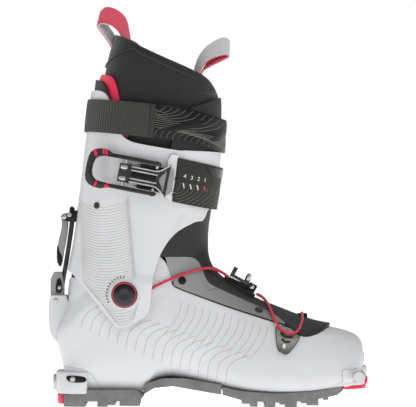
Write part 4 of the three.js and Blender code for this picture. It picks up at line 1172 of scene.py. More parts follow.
def foot_sock_region():
    return [*[at_pivot(49.8, angle) for angle in np.linspace(200, 31, 27)], (8, 146.5), (100, 190), (180, 60),
            (180, -20), (-180, -20), (-180, 80)]


SOCK_LIFT = -4.75  # of the foot sock's outside, inside the shell's skin


def build_liner():
    region = shaft_region()
    grids = []
    for side in SIDES.values():
        patch = Patch(LINER.place(side), inside_of(region), (0, LINER.last), columns=190, rows=90)
        points = patch.points
        z = points[..., 2]
        pillow = 0.9 * np.sin(np.pi * np.clip((z - 268) / 46, 0, 1)) * np.sin(np.pi * np.clip(patch.r, 0, 1))
        outward = unit(patch.out)
        grids.append((points + outward * pillow[..., None], patch.out))
    shaft = skin("liner_shaft_finish", grids, "liner_fabric")
    thicken(shaft, size_of("liner_wall"), 3.2, 5)
    keep(shaft, "cuff", "liner_fabric", "liner_shaft")

    seam, stitched, dots = [], [], []
    for side in SIDES.values():
        points, out = line_on(LINER, PIPING, side, 0.75)
        seam.append((points, out))
        raised = [(x + 1.5, z + 4.2) for x, z in PIPING[3:-1]]
        points, out = line_on(LINER, raised, side, 0.6)
        stitched.append((points, out))
        holes = [(-79 + 4.2 * i + 1.6 * (j % 2), 284 + 5.2 * j - 1.5 * i) for i in range(5) for j in range(5)]
        dots.append(LINER.on_skin(holes, side, 0.4))
    keep(strands("liner_piping", seam, "smoked_plastic", 0.85, 10), "cuff", "dark_plastic")
    places, along, outs = [], [], []
    for points, out in stitched:
        spots, heading = spaced(points, 2.6)
        places.append(spots)
        along.append(heading)
        outs.append(out[np.linspace(0, len(out) - 1, len(spots)).astype(int)])
    stitches = studs("liner_stitches", np.concatenate(places), np.concatenate(outs), np.concatenate(along),
                     (1.9, 0.5, 0.5), "smoked_plastic", True)
    keep(stitches, "cuff", "dark_plastic")
    spots = np.concatenate([d[0] for d in dots])
    outs = np.concatenate([d[1] for d in dots])
    rivets = studs("liner_knit_dots", spots, outs, (0, 0, 1), (1.1, 1.1, 0.5), "smoked_plastic",
                   True)
    keep(rivets, "cuff", "dark_plastic")

    sock_region = foot_sock_region()
    grids = []
    for side in SIDES.values():
        patch = Patch(FOOT.place(side), inside_of(sock_region), (0.4, FOOT.last), columns=150, rows=70,
                      grow=SOCK_LIFT, trim_grow=SOCK_LIFT)
        points = patch.points
        floor = np.interp(points[..., 0], [-128, -60, -33, 0, 40, 90, 136], [34, 34, 33, 26, 18, 18, 26]) + 0.4
        points[..., 2] = np.maximum(points[..., 2], floor)
        grids.append((points, patch.out))
    sock = skin("liner_foot_finish", grids, "liner_fabric")
    thicken(sock, 5.4, 1.2, 3)
    keep(sock, "shell", "liner_fabric", "liner_foot")


# ---- Tongue ----

PANEL_LOWER_EDGE = [(-40, 137.8), (-31.2, 110.6), (-27.8, 105.2), (-4, 95.9), (22.7, 86.3), (47.8, 78.2),
                    (75.8, 69.3)]
PANEL_UPPER_EDGE = [(75.8, 69.3), (58.9, 84.1), (37.4, 94.4), (18.2, 102.5), (2.7, 109.2), (0.6, 114),
                    (-2, 127.6), (-4.6, 131), (-12.8, 133.5), (-33.4, 136.7)]
TONGUE_SIDE = [(10.5, 272.6), (-4, 266), (-17, 260), (-30, 236), (-36, 205), (-46, 178), (-52, 158),
               (-52, 143), (-44, 134), (-32, 131.5), (-14, 128.5), (-7, 122), (-3, 112), (2, 106), (18, 99),
               (37.4, 91), (58.9, 80.6), (72, 69), (84, 63.5), (96, 66), (105, 71)]


def front_height(form, span):
    v = np.linspace(*span, 400)
    return v, form.point(v, 0.0, LATERAL)[..., 2]


def tongue_place(side):
    """The tongue follows the foot's form, then passes over to the inside of the cuff's."""
    foot_v, foot_z = front_height(FOOT, (12, FOOT.last))
    cuff_v, cuff_z = front_height(CUFF, (0, CUFF.last))
    knee = 15.0
    knee_z = float(FOOT.point(knee, 0.0, LATERAL)[2])

    def place(c, s, grow):
        c, s = np.broadcast_arrays(c, s)
        height = knee_z + np.clip(c - knee, 0, None) * 6
        on_foot_v = np.where(c < knee, c, np.interp(height, foot_z, foot_v))
        low = FOOT.point(on_foot_v, s, side, np.asarray(grow) + 3.0)
        high = CUFF.point(np.interp(height, cuff_z, cuff_v), s, side, np.asarray(grow) - 2.75)
        share = np.clip((height - 140) / 34, 0, 1)
        share = (share * share * (3 - 2 * share))[..., None]
        return low * (1 - share) + high * share
    return place


def build_tongue():
    outline = [*rounded_path(TONGUE_SIDE), (112, 74), (150, 90), (150, 300), (14, 300), (13.5, 272.6)]

    def tucked(c, s, share):
        return -3.2 * np.clip((share - 0.8) / 0.2, 0, 1) ** 2 * (c < 21)

    grids = trimmed(tongue_place, inside_of(outline), (3.5, 41), columns=260, rows=44, grow=tucked)
    tongue = skin("tongue_finish", grids, "dark_plastic")
    thicken(tongue, 2.0, 0.5, 2)
    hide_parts("tongue_instep", "tongue_shin")
    tuple(metres((20, 0, 118)))
    tuple(metres((2, 0, 178)))
    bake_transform(tongue)


# ---- Throat panels ----

RIVET_SPOTS = {"rear": (-23.4, 110), "front": (45, 83.4)}


def panel_edge():
    low = rounded_path(PANEL_LOWER_EDGE, per_span=6)
    high = rounded_path(PANEL_UPPER_EDGE, per_span=6)
    return [*low, *high[1:]]


def build_panels():
    edge = panel_edge()
    gasket_and_shadow = []
    for word, side in SIDES.items():
        def crowned(v, s, share):
            return 2.15 - 0.9 * (np.abs(share * 2 - 1) ** 6)
        grids = trimmed(FOOT.place, inside_of(edge), (3, FOOT.last), (side,), columns=200, rows=40, grow=crowned)
        panel = skin("throat_panel_" + word + "_finish", grids, "throat_grey")
        thicken(panel, 1.7, 0.45, 2)
        # A black strand just under the panel's lower edge: painted shadow where the edge stands off the shell.
        rim = line_on(FOOT, PANEL_LOWER_EDGE[1:], side, 0.35)
        # A dark strand along the panel where a groove runs: painted shade in the groove, which is not cut.
        groove_shade = line_on(FOOT, [(0, 101), (12, 103), (22, 100.6), (40, 92.5), (58, 83)], side, 2.0)
        keep(strands("panel_groove_shade_" + word, [groove_shade], "smoked_plastic", 0.3, 6), "shell", "dark_plastic")
        keep(panel, "shell", "throat_grey", "throat_panel_" + word)
        gasket_and_shadow.append(rim)
        gasket_and_shadow.append(line_on(FOOT, [(73, 72.4), *PANEL_UPPER_EDGE[1:7]], side, 2.0))
        for end, spot in RIVET_SPOTS.items():
            points, out = FOOT.on_skin([spot], side, 2.1)
            head = [(0, -6), (1.9, -6), (1.9, 0), (3.5, 0.1), (3.5, 0.7), (3.1, 1.1), (1.9, 1.0), (1.6, 0.3),
                    (0, 0.3)]
            dark = "black_plastic" if end == "rear" else "dark_metal"
            rivet = turned("panel_rivet_" + word + "_" + end + "_finish", head, points[0], out[0],
                           dark, 32)
            keep(rivet, "shell", "dark_metal", "panel_rivet_" + word + "_" + end)
    # The black strand along the upper edge is the gasket; the one along the lower edge is painted shadow.
    keep(strands("panel_gasket_and_shadow_line", gasket_and_shadow, "black_plastic", 0.8, 8), "shell", "black_plastic")


# ---- Straps ----

CUFF_STRAP = [(-25.5, 218.6), (-6, 214.6), (15.7, 209.9), (30, 207), (30, 172), (8.4, 173.2), (-12, 176.6),
              (-30.8, 180.5)]
POWER_STRAP_TOP = [(-120, 272), (-99, 270.7), (-50, 266), (-15, 260.7), (30, 249)]
POWER_STRAP_LOW = [(30, 219), (-15, 231.5), (-51.5, 236.5), (-99.7, 241.7), (-120, 243)]
STRAP_SPLIT = ((-50, 266.5), (-51.5, 236))
CUFF_STRAP_LIFT, POWER_STRAP_LIFT = 2.3, 2.45  # of the straps' outsides above the cuff's skin


def band(name, outline, sides, grow, wall, finish, columns=200, rows=24):
    """A strap on the cuff's form: columns run across it, so that its ends and edges stay crisp."""
    grids = trimmed(CUFF.place_across, inside_of(outline), (0, 1), sides, r_span=(0, CUFF.last),
                    columns=columns, rows=rows, grow=grow, trim_grow=grow)
    strap = skin(name, grids, finish)
    thicken(strap, wall, 0.5, 2)
    return strap


def shrunk(outline, share):
    """An outline drawn in towards its middle."""
    middle = np.mean(outline, axis=0)
    return [tuple(middle + (np.array(point) - middle) * share) for point in outline]


def clipped(line, outline):
    """The longest run of a line on a form that lies inside an outline."""
    points, out = line
    runs = np.split(np.arange(len(points)), np.flatnonzero(np.diff(within(outline, points).astype(int))) + 1)
    runs = [run for run in runs if within(outline, points[run[:1]])[0]]
    longest = max(runs, key=len) if runs else np.arange(2)
    return points[longest], out[longest]


def build_straps():
    top, low = STRAP_SPLIT
    power = [*rounded_path(POWER_STRAP_TOP), *rounded_path(POWER_STRAP_LOW)]
    half = lambda shift, edge: [(top[0] + shift, 320), (top[0] + shift, top[1]), (low[0] + shift, low[1]),
                                (low[0] + shift, 200), (edge, 200), (edge, 320)]

    def both(first, second):
        return lambda points: within(first, points) & within(second, points)

    def ribbed(s, v, share):
        ribs = 0.22 * np.sin(s * 2 * np.pi * 62)
        return POWER_STRAP_LIFT + ribs - 0.5 * np.abs(share * 2 - 1) ** 4

    def tab_form(s, v, share):
        return POWER_STRAP_LIFT + 0.3 * np.sin(share * 9 + s * 26) * np.exp(-((share - 0.5) * 2.4) ** 2) \
            - 0.5 * np.abs(share * 2 - 1) ** 4

    for name, node, region, relief, columns, finish in (
        ("power_strap_webbing_finish", "power_strap_webbing", half(0, -160), ribbed, 520, "webbing"),
        ("power_strap_tab_finish", "power_strap_tab", half(0.35, 60), tab_form, 160, "black_plastic"),
    ):
        grids = trimmed(CUFF.place_across, both(power, region), (0, 1), r_span=(4, CUFF.last), columns=columns,
                        rows=16, grow=relief, trim_grow=2.4)
        strap = skin(name, grids, finish)
        thicken(strap, 2.0, 0.45, 2)
        keep(strap, "cuff", finish, node)

    strip = [(-49.6, 266), (-45.6, 265.6), (-47.4, 236.6), (-51.2, 237)]
    edge = band("power_strap_edge_strip", strip, (LATERAL,), 2.95, 0.8, "smoked_plastic", 24, 20)
    keep(edge, "cuff", "webbing")

    outline = rounded_path(CUFF_STRAP[:4]) + rounded_path(CUFF_STRAP[4:])
    inner = [(-12, 214), (30, 207), (30, 172), (-12, 178)]
    grids = []
    for side, edge in ((LATERAL, outline), (MEDIAL, inner)):
        grids += trimmed(CUFF.place_across, inside_of(edge), (0, 1), (side,), r_span=(3, CUFF.last - 1),
                         columns=150, rows=50, grow=CUFF_STRAP_LIFT, trim_grow=CUFF_STRAP_LIFT)
    strap = skin("cuff_strap_finish", grids, "strap_plastic")
    thicken(strap, 1.95, 0.5, 2)
    keep(strap, "cuff", "black_plastic", "cuff_strap")

    plate = [(-34.5, 216.5), (-31, 222), (-24.6, 220.4), (-26.4, 218.4), (-29, 199), (-31.6, 180.3),
             (-38.5, 185.8)]
    end = band("strap_end_plate_finish", plate, (LATERAL,), 2.6, 2.2, "white_shell", 40, 40)
    keep(end, "cuff", "white_shell", "strap_end_plate")

    curves = []
    for k in range(11):
        hook = [(-24.9 + 3.8 * k, 197.6 - 0.8 * k), (-25.8 + 3.8 * k, 193 - 0.9 * k),
                (-28.2 + 3.2 * k, 190 - 1.3 * k), (-31.4 + 2 * k, 189.6 - 2.1 * k), (-35.4, 190.4 - 2.6 * k)]
        curves.append(clipped(line_on(CUFF, hook, LATERAL, CUFF_STRAP_LIFT), shrunk(outline, 0.95)))
    for k in range(10):
        start = -36.3 + 5.6 * k
        brim = 265.2 - 0.14 * (start + 46) if start < -21.4 else 261.7 - 0.286 * (start + 21.4)
        fan = [(start, brim), (start - 2.7, brim - 2.4), (start - 8, brim - 4.6 - 0.2 * k)]
        if k > 1:
            fan.append((start - 16 - k, brim - 4.8 - 0.5 * k))
        fan.append((-46.6, 263.4 - 1.96 * k))
        curves.append(clipped(line_on(CUFF, fan, LATERAL, POWER_STRAP_LIFT), shrunk(power, 0.97)))
    for k in range(10):
        wave = [(-46.5 + 5 * k, 238 - 1.1 * k), (-44.9 + 5 * k, 242.4 - 1.1 * k), (-40.7 + 5 * k, 244.7 - 1.2 * k),
                (-33.6 + 4.8 * k, 244.4 - 1.45 * k), (-15.8 + 3.2 * k, 241.2 - 1.6 * k), (14.6, 235.6 - 1.6 * k)]
        curves.append(clipped(line_on(CUFF, wave, LATERAL, POWER_STRAP_LIFT), shrunk(power, 0.97)))
    patch_edge = [(-1.6, 212), (14.6, 208.6), (13.2, 200.7), (3.2, 203.6)]
    tag = band("cuff_strap_tag", patch_edge, (LATERAL,), 2.9, 0.75, "gloss_black", 30, 20)
    keep(tag, "cuff", "black_plastic")
    keep(strands("strap_relief_lines", curves, "line_print", 0.2, 6), "cuff", "black_plastic")


LOOP_EDGES = {
    "pull_loop_rear": [
        ((-82, 310), (-77, 318)), ((-87.6, 321.7), (-84.2, 330)), ((-97, 334.8), (-95.4, 347)),
        ((-96.6, 338), (-93, 352.6)), ((-91.4, 338.7), (-88.4, 354)), ((-84, 336), (-80.4, 351)),
        ((-77.8, 329.8), (-73.6, 344)), ((-75, 321.5), (-70.4, 331)), ((-78, 310), (-68.2, 316)),
        ((-79, 302), (-67.4, 307))],
    "pull_loop_front": [
        ((-8.2, 295), (-11.8, 298)), ((-4.2, 301.6), (-7.8, 309.6)), ((2, 306.8), (-1.6, 318)),
        ((9.1, 309.6), (6, 323.6)), ((15.6, 310.8), (13.6, 326.8)), ((18.6, 309.6), (18.8, 324.6)),
        ((16.2, 307.4), (17.2, 319)), ((6, 302.6), (8, 311.8)), ((-4.2, 297), (-1.6, 302.4)),
        ((-7.8, 291), (-5.6, 294))],
}


def build_loops():
    """Two pull loops of folded tape, each between a near and a far edge, faced with a second colour inside."""
    reach = size_of("tape_width") / 2
    for name, edges in LOOP_EDGES.items():
        near, far = (np.array(rounded_path([pair[i] for pair in edges], per_span=9)) for i in (0, 1))
        at = lambda line, y: np.stack([line[:, 0], np.full(len(line), y), line[:, 1]], -1)
        low, high = at(near, -reach), at(far, reach)
        share = np.linspace(0, 1, 14)[None, :, None]
        points = low[:, None] * (1 - share) + high[:, None] * share
        along, over = np.gradient(points, axis=0), np.gradient(points, axis=1)
        out = unit(np.cross(along, over))
        if ((points - points.mean((0, 1))) * out).sum() < 0:
            out = -out
        finishes = ("loop_tape", "pale_tape") if name == "pull_loop_rear" else ("pale_tape", "loop_tape")
        for layer, offset, finish in (("outside", 0.9, finishes[0]), ("inside", -0.02, finishes[1])):
            tape = skin(name + "_" + layer, [(points + out * offset, out)], finish)
            thicken(tape, 0.88, 0.25, 2)
            keep(tape, "cuff", "loop_tape", *([name] if layer == "outside" else []))


# ---- Laces and their fittings ----

LACE_REAR = [(-58, 99, 1.8), (-49, 104.5, 2), (-38, 110, 2.8), (-28, 114.2, 3.6), (-19, 117.6, 3.8),
             (-9, 120.3, 4), (-1, 121.8, 4.6), (5.5, 121, 6.4)]
LACE_REAR_END = [(12.2, 9.6, 117.8), (18.6, 8, 113.5)]
LACE_FRONT_START = [(43.8, 8, 98.2), (48, 10.8, 96)]
LACE_FRONT = [(52, 92, 4.8), (54.9, 86.4, 4.6), (58, 79, 4), (62, 71.6, 4), (67, 66.8, 4), (73, 65.2, 4),
              (78, 67, 4.6), (80.8, 70.6, 4.9), (82.4, 74.4, 5), (83.3, 77.4, 5.1)]
LACE_FRONT_END = [(83.9, 14, 80.2), (84.1, 7.2, 81.4)]
HOOK_OUTLINE = [(59.8, 68.8), (61.2, 53.4), (64.6, 49.4), (70.2, 48.6), (79.4, 60.2), (78.6, 64), (72, 69.4),
                (64, 71)]


def curve_through(points, per_span=8):
    return np.array(rounded_path(points, per_span=per_span))


def tube(name, path, radius, finish, facets=14):
    """A round tube along a path, with lengths round it and along it as its UV map."""
    path = np.asarray(path, float)
    heading = unit(np.gradient(path, axis=0))
    travel = np.concatenate([[0], np.cumsum(np.linalg.norm(np.diff(path, axis=0), axis=1))])
    side = np.cross(heading[0], (0, 0, 1.0))
    rings = []
    for i, direction in enumerate(heading):
        side = side - direction * (side @ direction)
        side = side / max(np.linalg.norm(side), 1e-9)
        up = np.cross(direction, side)
        turn = 2 * np.pi * np.arange(facets) / facets
        rings.append(path[i] + radius * (np.cos(turn)[:, None] * side + np.sin(turn)[:, None] * up))
    rings = np.array(rings)
    count = len(path)
    index = np.arange(count * facets).reshape(count, facets)
    turned_on = np.roll(index, -1, 1)
    faces = np.stack([index[:-1], turned_on[:-1], turned_on[1:], index[1:]], -1).reshape(-1, 4).tolist()
    faces += [index[0, ::-1].tolist(), index[-1].tolist()]
    mesh = bpy.data.meshes.new(name)
    mesh.from_pydata(metres(rings).reshape(-1, 3).tolist(), [], faces)
    layer = mesh.uv_layers.new(name="Length")
    for polygon in mesh.polygons:
        whole = len(polygon.vertices) > 4
        for loop in polygon.loop_indices:
            at = mesh.loops[loop].vertex_index
            around = at % facets
            if not whole and around == 0 and facets - 1 in [mesh.loops[k].vertex_index % facets
                                                            for k in polygon.loop_indices]:
                around = facets
            layer.data[loop].uv = (around * 2 * math.pi * radius / facets * MM, travel[at // facets] * MM)
    with editing(mesh) as built:
        bmesh.ops.recalc_face_normals(built, faces=built.faces)
    return smooth(new_object(name, mesh, finish), 50)


def lace_path(route, before, after, side):
    middle = []
    for x, z, off in route:
        v, s = FOOT.find([(x, z)], side, off)
        middle.append(FOOT.point(v, s, side, off)[0])
    ends = [[(x, y * side, z) for x, y, z in part] for part in (before, after)]
    return curve_through([*ends[0], *middle, *ends[1]], 10)


def build_laces():
    for word, side in SIDES.items():
        for part, route, before, after in (("rear", LACE_REAR, [], LACE_REAR_END),
                                           ("front", LACE_FRONT, LACE_FRONT_START, LACE_FRONT_END)):
            name = "instep_cable_" + word + "_" + part
            lace = tube(name + "_finish", lace_path(route, before, after, side),
                        size_of("lace_radius"), "cable_red")
            keep(lace, "shell", "cable_red", name)


def foot_plate(name, outline, side, grow, wall, finish, columns=70, rows=50, rounding=0.5):
    """A plate cut to an outline that follows the foot's form."""
    edge = closed_path(outline, 5)
    plate = skin(name, trimmed(FOOT.place, inside_of(edge), (0, FOOT.last), (side,), columns=columns, rows=rows,
                               grow=grow, trim_grow=grow), finish)
    thicken(plate, wall, 0)
    return round_edges(plate, rounding, 2, 40)


def build_cable_guides():
    for word, side in SIDES.items():
        plate = foot_plate("cable_guide_" + word + "_finish", HOOK_OUTLINE, side, 3.3, 2.2,
                           "plate_metal")
        keep(plate, "shell", "steel", "cable_guide_" + word)
        back = foot_plate("cable_guide_" + word + "_pad",
                          [(x + (68 - x) * -0.06, z + (60 - z) * -0.06) for x, z in HOOK_OUTLINE], side, 1.2, 1.1,
                          "black_plastic")
        keep(back, "shell", "black_plastic")
        inlays = [foot_plate("slot", slot, side, 3.42, 0.35, "black_plastic", columns=30, rows=10,
                             rounding=0.1)
                  for slot in ([(63.4, 64.6), (67.4, 61.4), (73.6, 61.2), (74.4, 63), (68.6, 63.6), (64.6, 66.6)],
                               [(64.2, 59.8), (67.6, 57.2), (71.4, 57.2), (72, 58.8), (68.4, 59), (65.2, 61.4)])]
        dark = join("cable_guide_" + word + "_slots", inlays, "black_plastic")
        keep(dark, "shell", "black_plastic")
        points, out = FOOT.on_skin([(66.5, 53.4)], side, 3.2)
        head = [(0, -2), (1.6, -2), (1.6, 0), (2.3, 0.1), (2.2, 0.6), (1.4, 1.0), (0.9, 1.0), (0.8, 0.5), (0, 0.5)]
        keep(turned("cable_guide_" + word + "_rivet", head, points[0], out[0], "steel", 24), "shell", "steel")


# ---- Sole ----

def build_sole():
    for node in ("outsole_heel", "outsole_arch", "outsole_forefoot"):
        finish_node(node, "shell", "sole_rubber", "sole_rubber", 0.7)
    for node in ("heel_bumper", "toe_bumper"):
        finish_node(node, "shell", "red_plastic", "red_plastic", 0.8)
    places = []
    for row in range(-3, 4):
        for k in range(26):
            x = -1 + 4.0 * k
            if abs(row) * 11 > 30 and not 30 < x < 96:
                continue
            places.append((x, row * 11 + 2, float(np.interp(x, [-1, 13, 31, 61, 90, 114],
                                                              [11.6, 11.0, 6.3, 4.7, 6.1, 10.6])) + 0.1))
    places = [p for p in places if 30 < p[0] < 100]
    bars = studs("sole_fine_tread", places, (0, 0, 1), (1, 0, 0), (1.5, 7.5, 1.2), "sole_rubber")
    keep(bars, "shell", "sole_rubber")


def build_fittings():
    finish_node("toe_fitting", "shell", "steel", "steel", 0.35)
    finish_node("heel_fitting", "shell", "steel", "steel", 0.5)
    pocket = [(-123.8, 27.2), (-108.6, 26.4), (-108.2, 21.8), (-121.4, 22)]
    keep(side_plates("heel_side_recess", pocket, 33.2, 34.5, "black_plastic", 0.3), "shell", "black_plastic")
    head = [(0, -0.6), (2.2, -0.6), (2.4, 0.4), (2.0, 0.9), (1.2, 1.0), (1.0, 0.4), (0, 0.4)]
    for word, side in SIDES.items():
        screw = turned("heel_side_screw_" + word, head, (-118.8, side * 34.4, 24.4), (0, side, 0), "steel", 28)
        keep(screw, "shell", "steel")
    nose = prism("toe_bumper_nose", [(137, 16.6), (141.2, 20.9), (141.4, 26), (139.4, 24.6), (136.2, 18.4)],
                 -21, 21, "red_plastic")
    keep(round_edges(nose, 0.5), "shell", "red_plastic")
    for word, side in SIDES.items():
        flank = foot_plate("toe_ledge_flank_" + word,
                           [(118.6, 31.8), (127, 32.4), (134, 33.6), (134, 19), (127.5, 15.6), (120.6, 15.4)], side,
                           1.2, 1.8, "white_shell", columns=40, rows=30)
        keep(flank, "shell", "white_shell")
    for side in SIDES.values():
        collar = [(2.75, -1.2), (4.6, -1.2), (5.9, 0.0), (6.2, 1.4), (5.7, 2.1), (3.4, 2.2), (2.75, 1.5)]
        place = (132.5, side * 29.8, 26.5)
        ring = turned("toe_socket_" + ("lateral" if side < 0 else "medial"), [*collar, collar[0]], place,
                      (0, side, 0), "steel")
        keep(ring, "shell", "steel")
        pit = turned("toe_socket_pit_" + ("lateral" if side < 0 else "medial"),
                     [(0, -0.6), (2.4, -0.6), (2.4, 0.2), (1.6, 0.35), (0, 0.1)], (132.5, side * 31.6, 26.5),
                     (0, side, 0), "dark_metal", 28)
        keep(pit, "shell", "dark_metal")


# ---- Inside ----

def build_inside():
    finish_node("boot_board", "shell", "smoked_plastic", "dark_plastic", 0.6, 1)
    bed = finish_node("footbed", "shell", "footbed_foam", "throat_grey", 0.8)


# ---- Ankle pivots ----

def build_pivots():
    for word, side in SIDES.items():
        place = (PIVOT_X, side * 43.4, PIVOT_Z)
        profile = [(0, -9), (5, -9), (5, 0.2), (10.6, 0.2), (11.1, 0.6), (11.3, 1.6), (11.0, 2.5), (10.75, 2.7),
                   (10.7, 2.2), (9.85, 2.2), (9.8, 2.75), (9.2, 3.0), (4, 2.7), (0, 2.55)]
        bolt = turned("pivot_bolt_" + word + "_finish", profile, place, (0, side, 0), "pivot_gloss", 72)
        keep(bolt, "shell", "black_plastic", "pivot_bolt_" + word)
        ring = [(9.9, 2.25), (10.65, 2.25), (10.6, 2.85), (10.3, 2.98), (9.95, 2.85), (9.9, 2.25)]
        band_ring = turned("pivot_ring_" + word + "_finish", ring, place, (0, side, 0), "red_plastic", 72)
        keep(band_ring, "shell", "red_plastic", "pivot_ring_" + word)
        collar = [(11.5, 0.3), (12.6, 0.5), (12.9, 1.1), (12.5, 1.7), (11.6, 1.75), (11.5, 0.3)]
        keep(turned("pivot_seat_" + word, collar, place, (0, side, 0), "white_shell", 72), "cuff", "white_shell")
    turns = np.radians(np.linspace(92, 204, 12))
    ticks = np.stack([PIVOT_X + 15.6 * np.cos(turns), PIVOT_Z + 15.6 * np.sin(turns)], -1)
    spots, outs, heads = [], [], []
    for side in SIDES.values():
        points, out = CUFF.on_skin(ticks, side, 0.05)
        spots.append(points)
        outs.append(out)
        heads.append(np.stack([-np.sin(turns), np.zeros(len(turns)), np.cos(turns)], -1))
    marks = studs("pivot_angle_marks", np.concatenate(spots), np.concatenate(outs), np.concatenate(heads),
                  (1.1, 2.0, 0.5), "line_print")
    keep(marks, "cuff", "throat_grey")
    head = [(0, 0), (1.35, 0), (1.35, 2), (2.9, 2.1), (2.8, 2.9), (1.6, 3.1), (0.9, 2.3), (0, 2.3)]
    points, out = CUFF.on_skin([(-97.5, 177)], LATERAL, -1.9)
    screw = turned("cuff_screw_finish", head, points[0], out[0], "dark_metal", 32)
    keep(screw, "cuff", "dark_metal", "cuff_screw")


# ---- Walk mechanism ----

def side_plates(name, outline, low, high, finish, rounding=0.5):
    """The same plate on both sides of the middle plane, as one mesh."""
    edge = closed_path(outline, 4)
    pair = [prism(name, edge, low, high), prism(name, edge, -high, -low)]
    return round_edges(join(name, pair, finish), rounding)


def build_mechanism():
    """The lock bar, its bracket and housing, and the walk lever, with screws at their joints."""
    finish_node("lock_bracket", "shell", "throat_grey", "dark_metal", 0.6, 3)
    side_view = [(-122.2, 175), (-119, 175), (-118.6, 169), (-119.4, 158), (-121.4, 144), (-124.2, 126),
                 (-127.4, 108), (-128.6, 101.4), (-131, 99.8), (-132, 103), (-130.6, 112), (-127.8, 128),
                 (-125.3, 144), (-123.4, 158), (-122.4, 168)]
    bar = prism("lock_bar_finish", closed_path(side_view, 4), -4.6, 4.6, "dark_metal")
    keep(round_edges(bar, 0.7), "lock_bar", "dark_metal", "lock_bar")
    for node, body in (("lock_bracket_pin", "shell"), ("walk_lever_pin", "cuff")):
        finish_node(node, body, "steel", "steel", 0.3)
    ears = [(-107, 163), (-120, 162.6), (-126, 163.4), (-129.6, 165.4), (-129.6, 168.6), (-125.4, 170.2),
            (-120.4, 171.8), (-107, 174)]
    housing = side_plates("mechanism_housing_finish", ears, 9.8, 12, "black_plastic", 0.6)
    keep(housing, "cuff", "dark_plastic", "mechanism_housing")
    lens = [(-125.4, 169.4), (-124.4, 161), (-125.5, 150), (-127.7, 138), (-130.1, 124.6), (-131.8, 123.6),
            (-133.4, 128), (-133.8, 137), (-132.2, 148), (-129.8, 158), (-129.7, 168.4)]
    lever = prism("walk_lever_finish", closed_path(lens, 5), -5.9, 5.9, "throat_grey")
    keep(round_edges(lever, 1.0, 3, 35), "walk_lever", "throat_grey", "walk_lever")
    tip = [(-129.2, 131), (-130.3, 124.2), (-131.9, 123.2), (-133.8, 127.8), (-134.2, 137), (-133.4, 142),
           (-131.6, 136)]
    grip = prism("walk_lever_grip", closed_path(tip, 5), -6.2, 6.2, "black_plastic")
    keep(round_edges(grip, 0.7), "walk_lever", "black_plastic")
    ribs = [(-134.1 + 0.12 * abs(k - 3), 0, 126.4 + 1.7 * k) for k in range(7)]
    grips = studs("walk_lever_grip_ribs", ribs, (-1, 0, 0), (0, 1, 0), (10.4, 0.8, 0.7), "black_plastic")
    keep(grips, "walk_lever", "black_plastic")
    # A dark band inside the cuff's lower rear edge: painted shadow in the gap between the cuff and the lower shell.
    gap_shadow = band("cuff_rear_gap_shadow", [(-120.6, 122.6), (-114, 122.6), (-115, 113.6), (-120.6, 113.6)],
                (LATERAL, MEDIAL), -2.5, 1.0, "dark_plastic", 60, 30)
    keep(gap_shadow, "cuff", "dark_plastic")
    wedge = side_plates("lock_bracket_pads", [(-134.6, 100), (-129.4, 101), (-130.4, 111.4), (-134, 110.8)], 8.7,
                        10.0, "black_plastic", 0.4)
    keep(wedge, "shell", "black_plastic")
    cap = side_plates("bar_head", [(-122.8, 169.4), (-119.4, 169.8), (-119.4, 175.4), (-122.4, 175.6)], 3.4, 6.6,
                      "black_plastic", 0.5)
    keep(cap, "lock_bar", "black_plastic")
    head = [(0, -0.4), (2.1, -0.4), (2.2, 0.5), (1.8, 1.0), (1.1, 1.1), (1.0, 0.4), (0, 0.4)]
    for name, x, z, y, body in (("housing_screw", -127.2, 167, 12.2, "cuff"),
                                ("housing_stud", -122.8, 169, 12.1, "cuff"),
                                ("seat_screw", -134.6, 92.8, 12.9, "shell")):
        for word, side in SIDES.items():
            keep(turned(name + "_" + word, head, (x, side * y, z), (0, side, 0), "steel", 28), body, "steel")


# ---- Cuff buckle ----

BUCKLE_PLACE = Matrix.Translation((-45.9, -58, 200.3)) @ (
    Matrix.Rotation(math.radians(11.2), 4, "Y") @ Matrix.Rotation(math.radians(-7), 4, "Z"))


def on_buckle(u, v, w):
    """From the buckle's own plane (along, across, outwards as -Y) to the boot."""
    return tuple(BUCKLE_PLACE @ Vector((u, w, v)))


def mirrored(outline):
    return [*outline, *[(u, -v) for u, v in reversed(outline)]]


def bar_with_ends(name, radius, u, w, low, high, finish):
    """A pin across the buckle with domed ends."""
    start, end = Vector(on_buckle(u, low, w)), Vector(on_buckle(u, high, w))
    long = (end - start).length
    profile = [(0, 0), (radius * 0.7, 0), (radius, radius * 0.3), (radius, long - radius * 0.3),
               (radius * 0.7, long), (0, long)]
    return turned(name, profile, start, end - start, finish, 28)


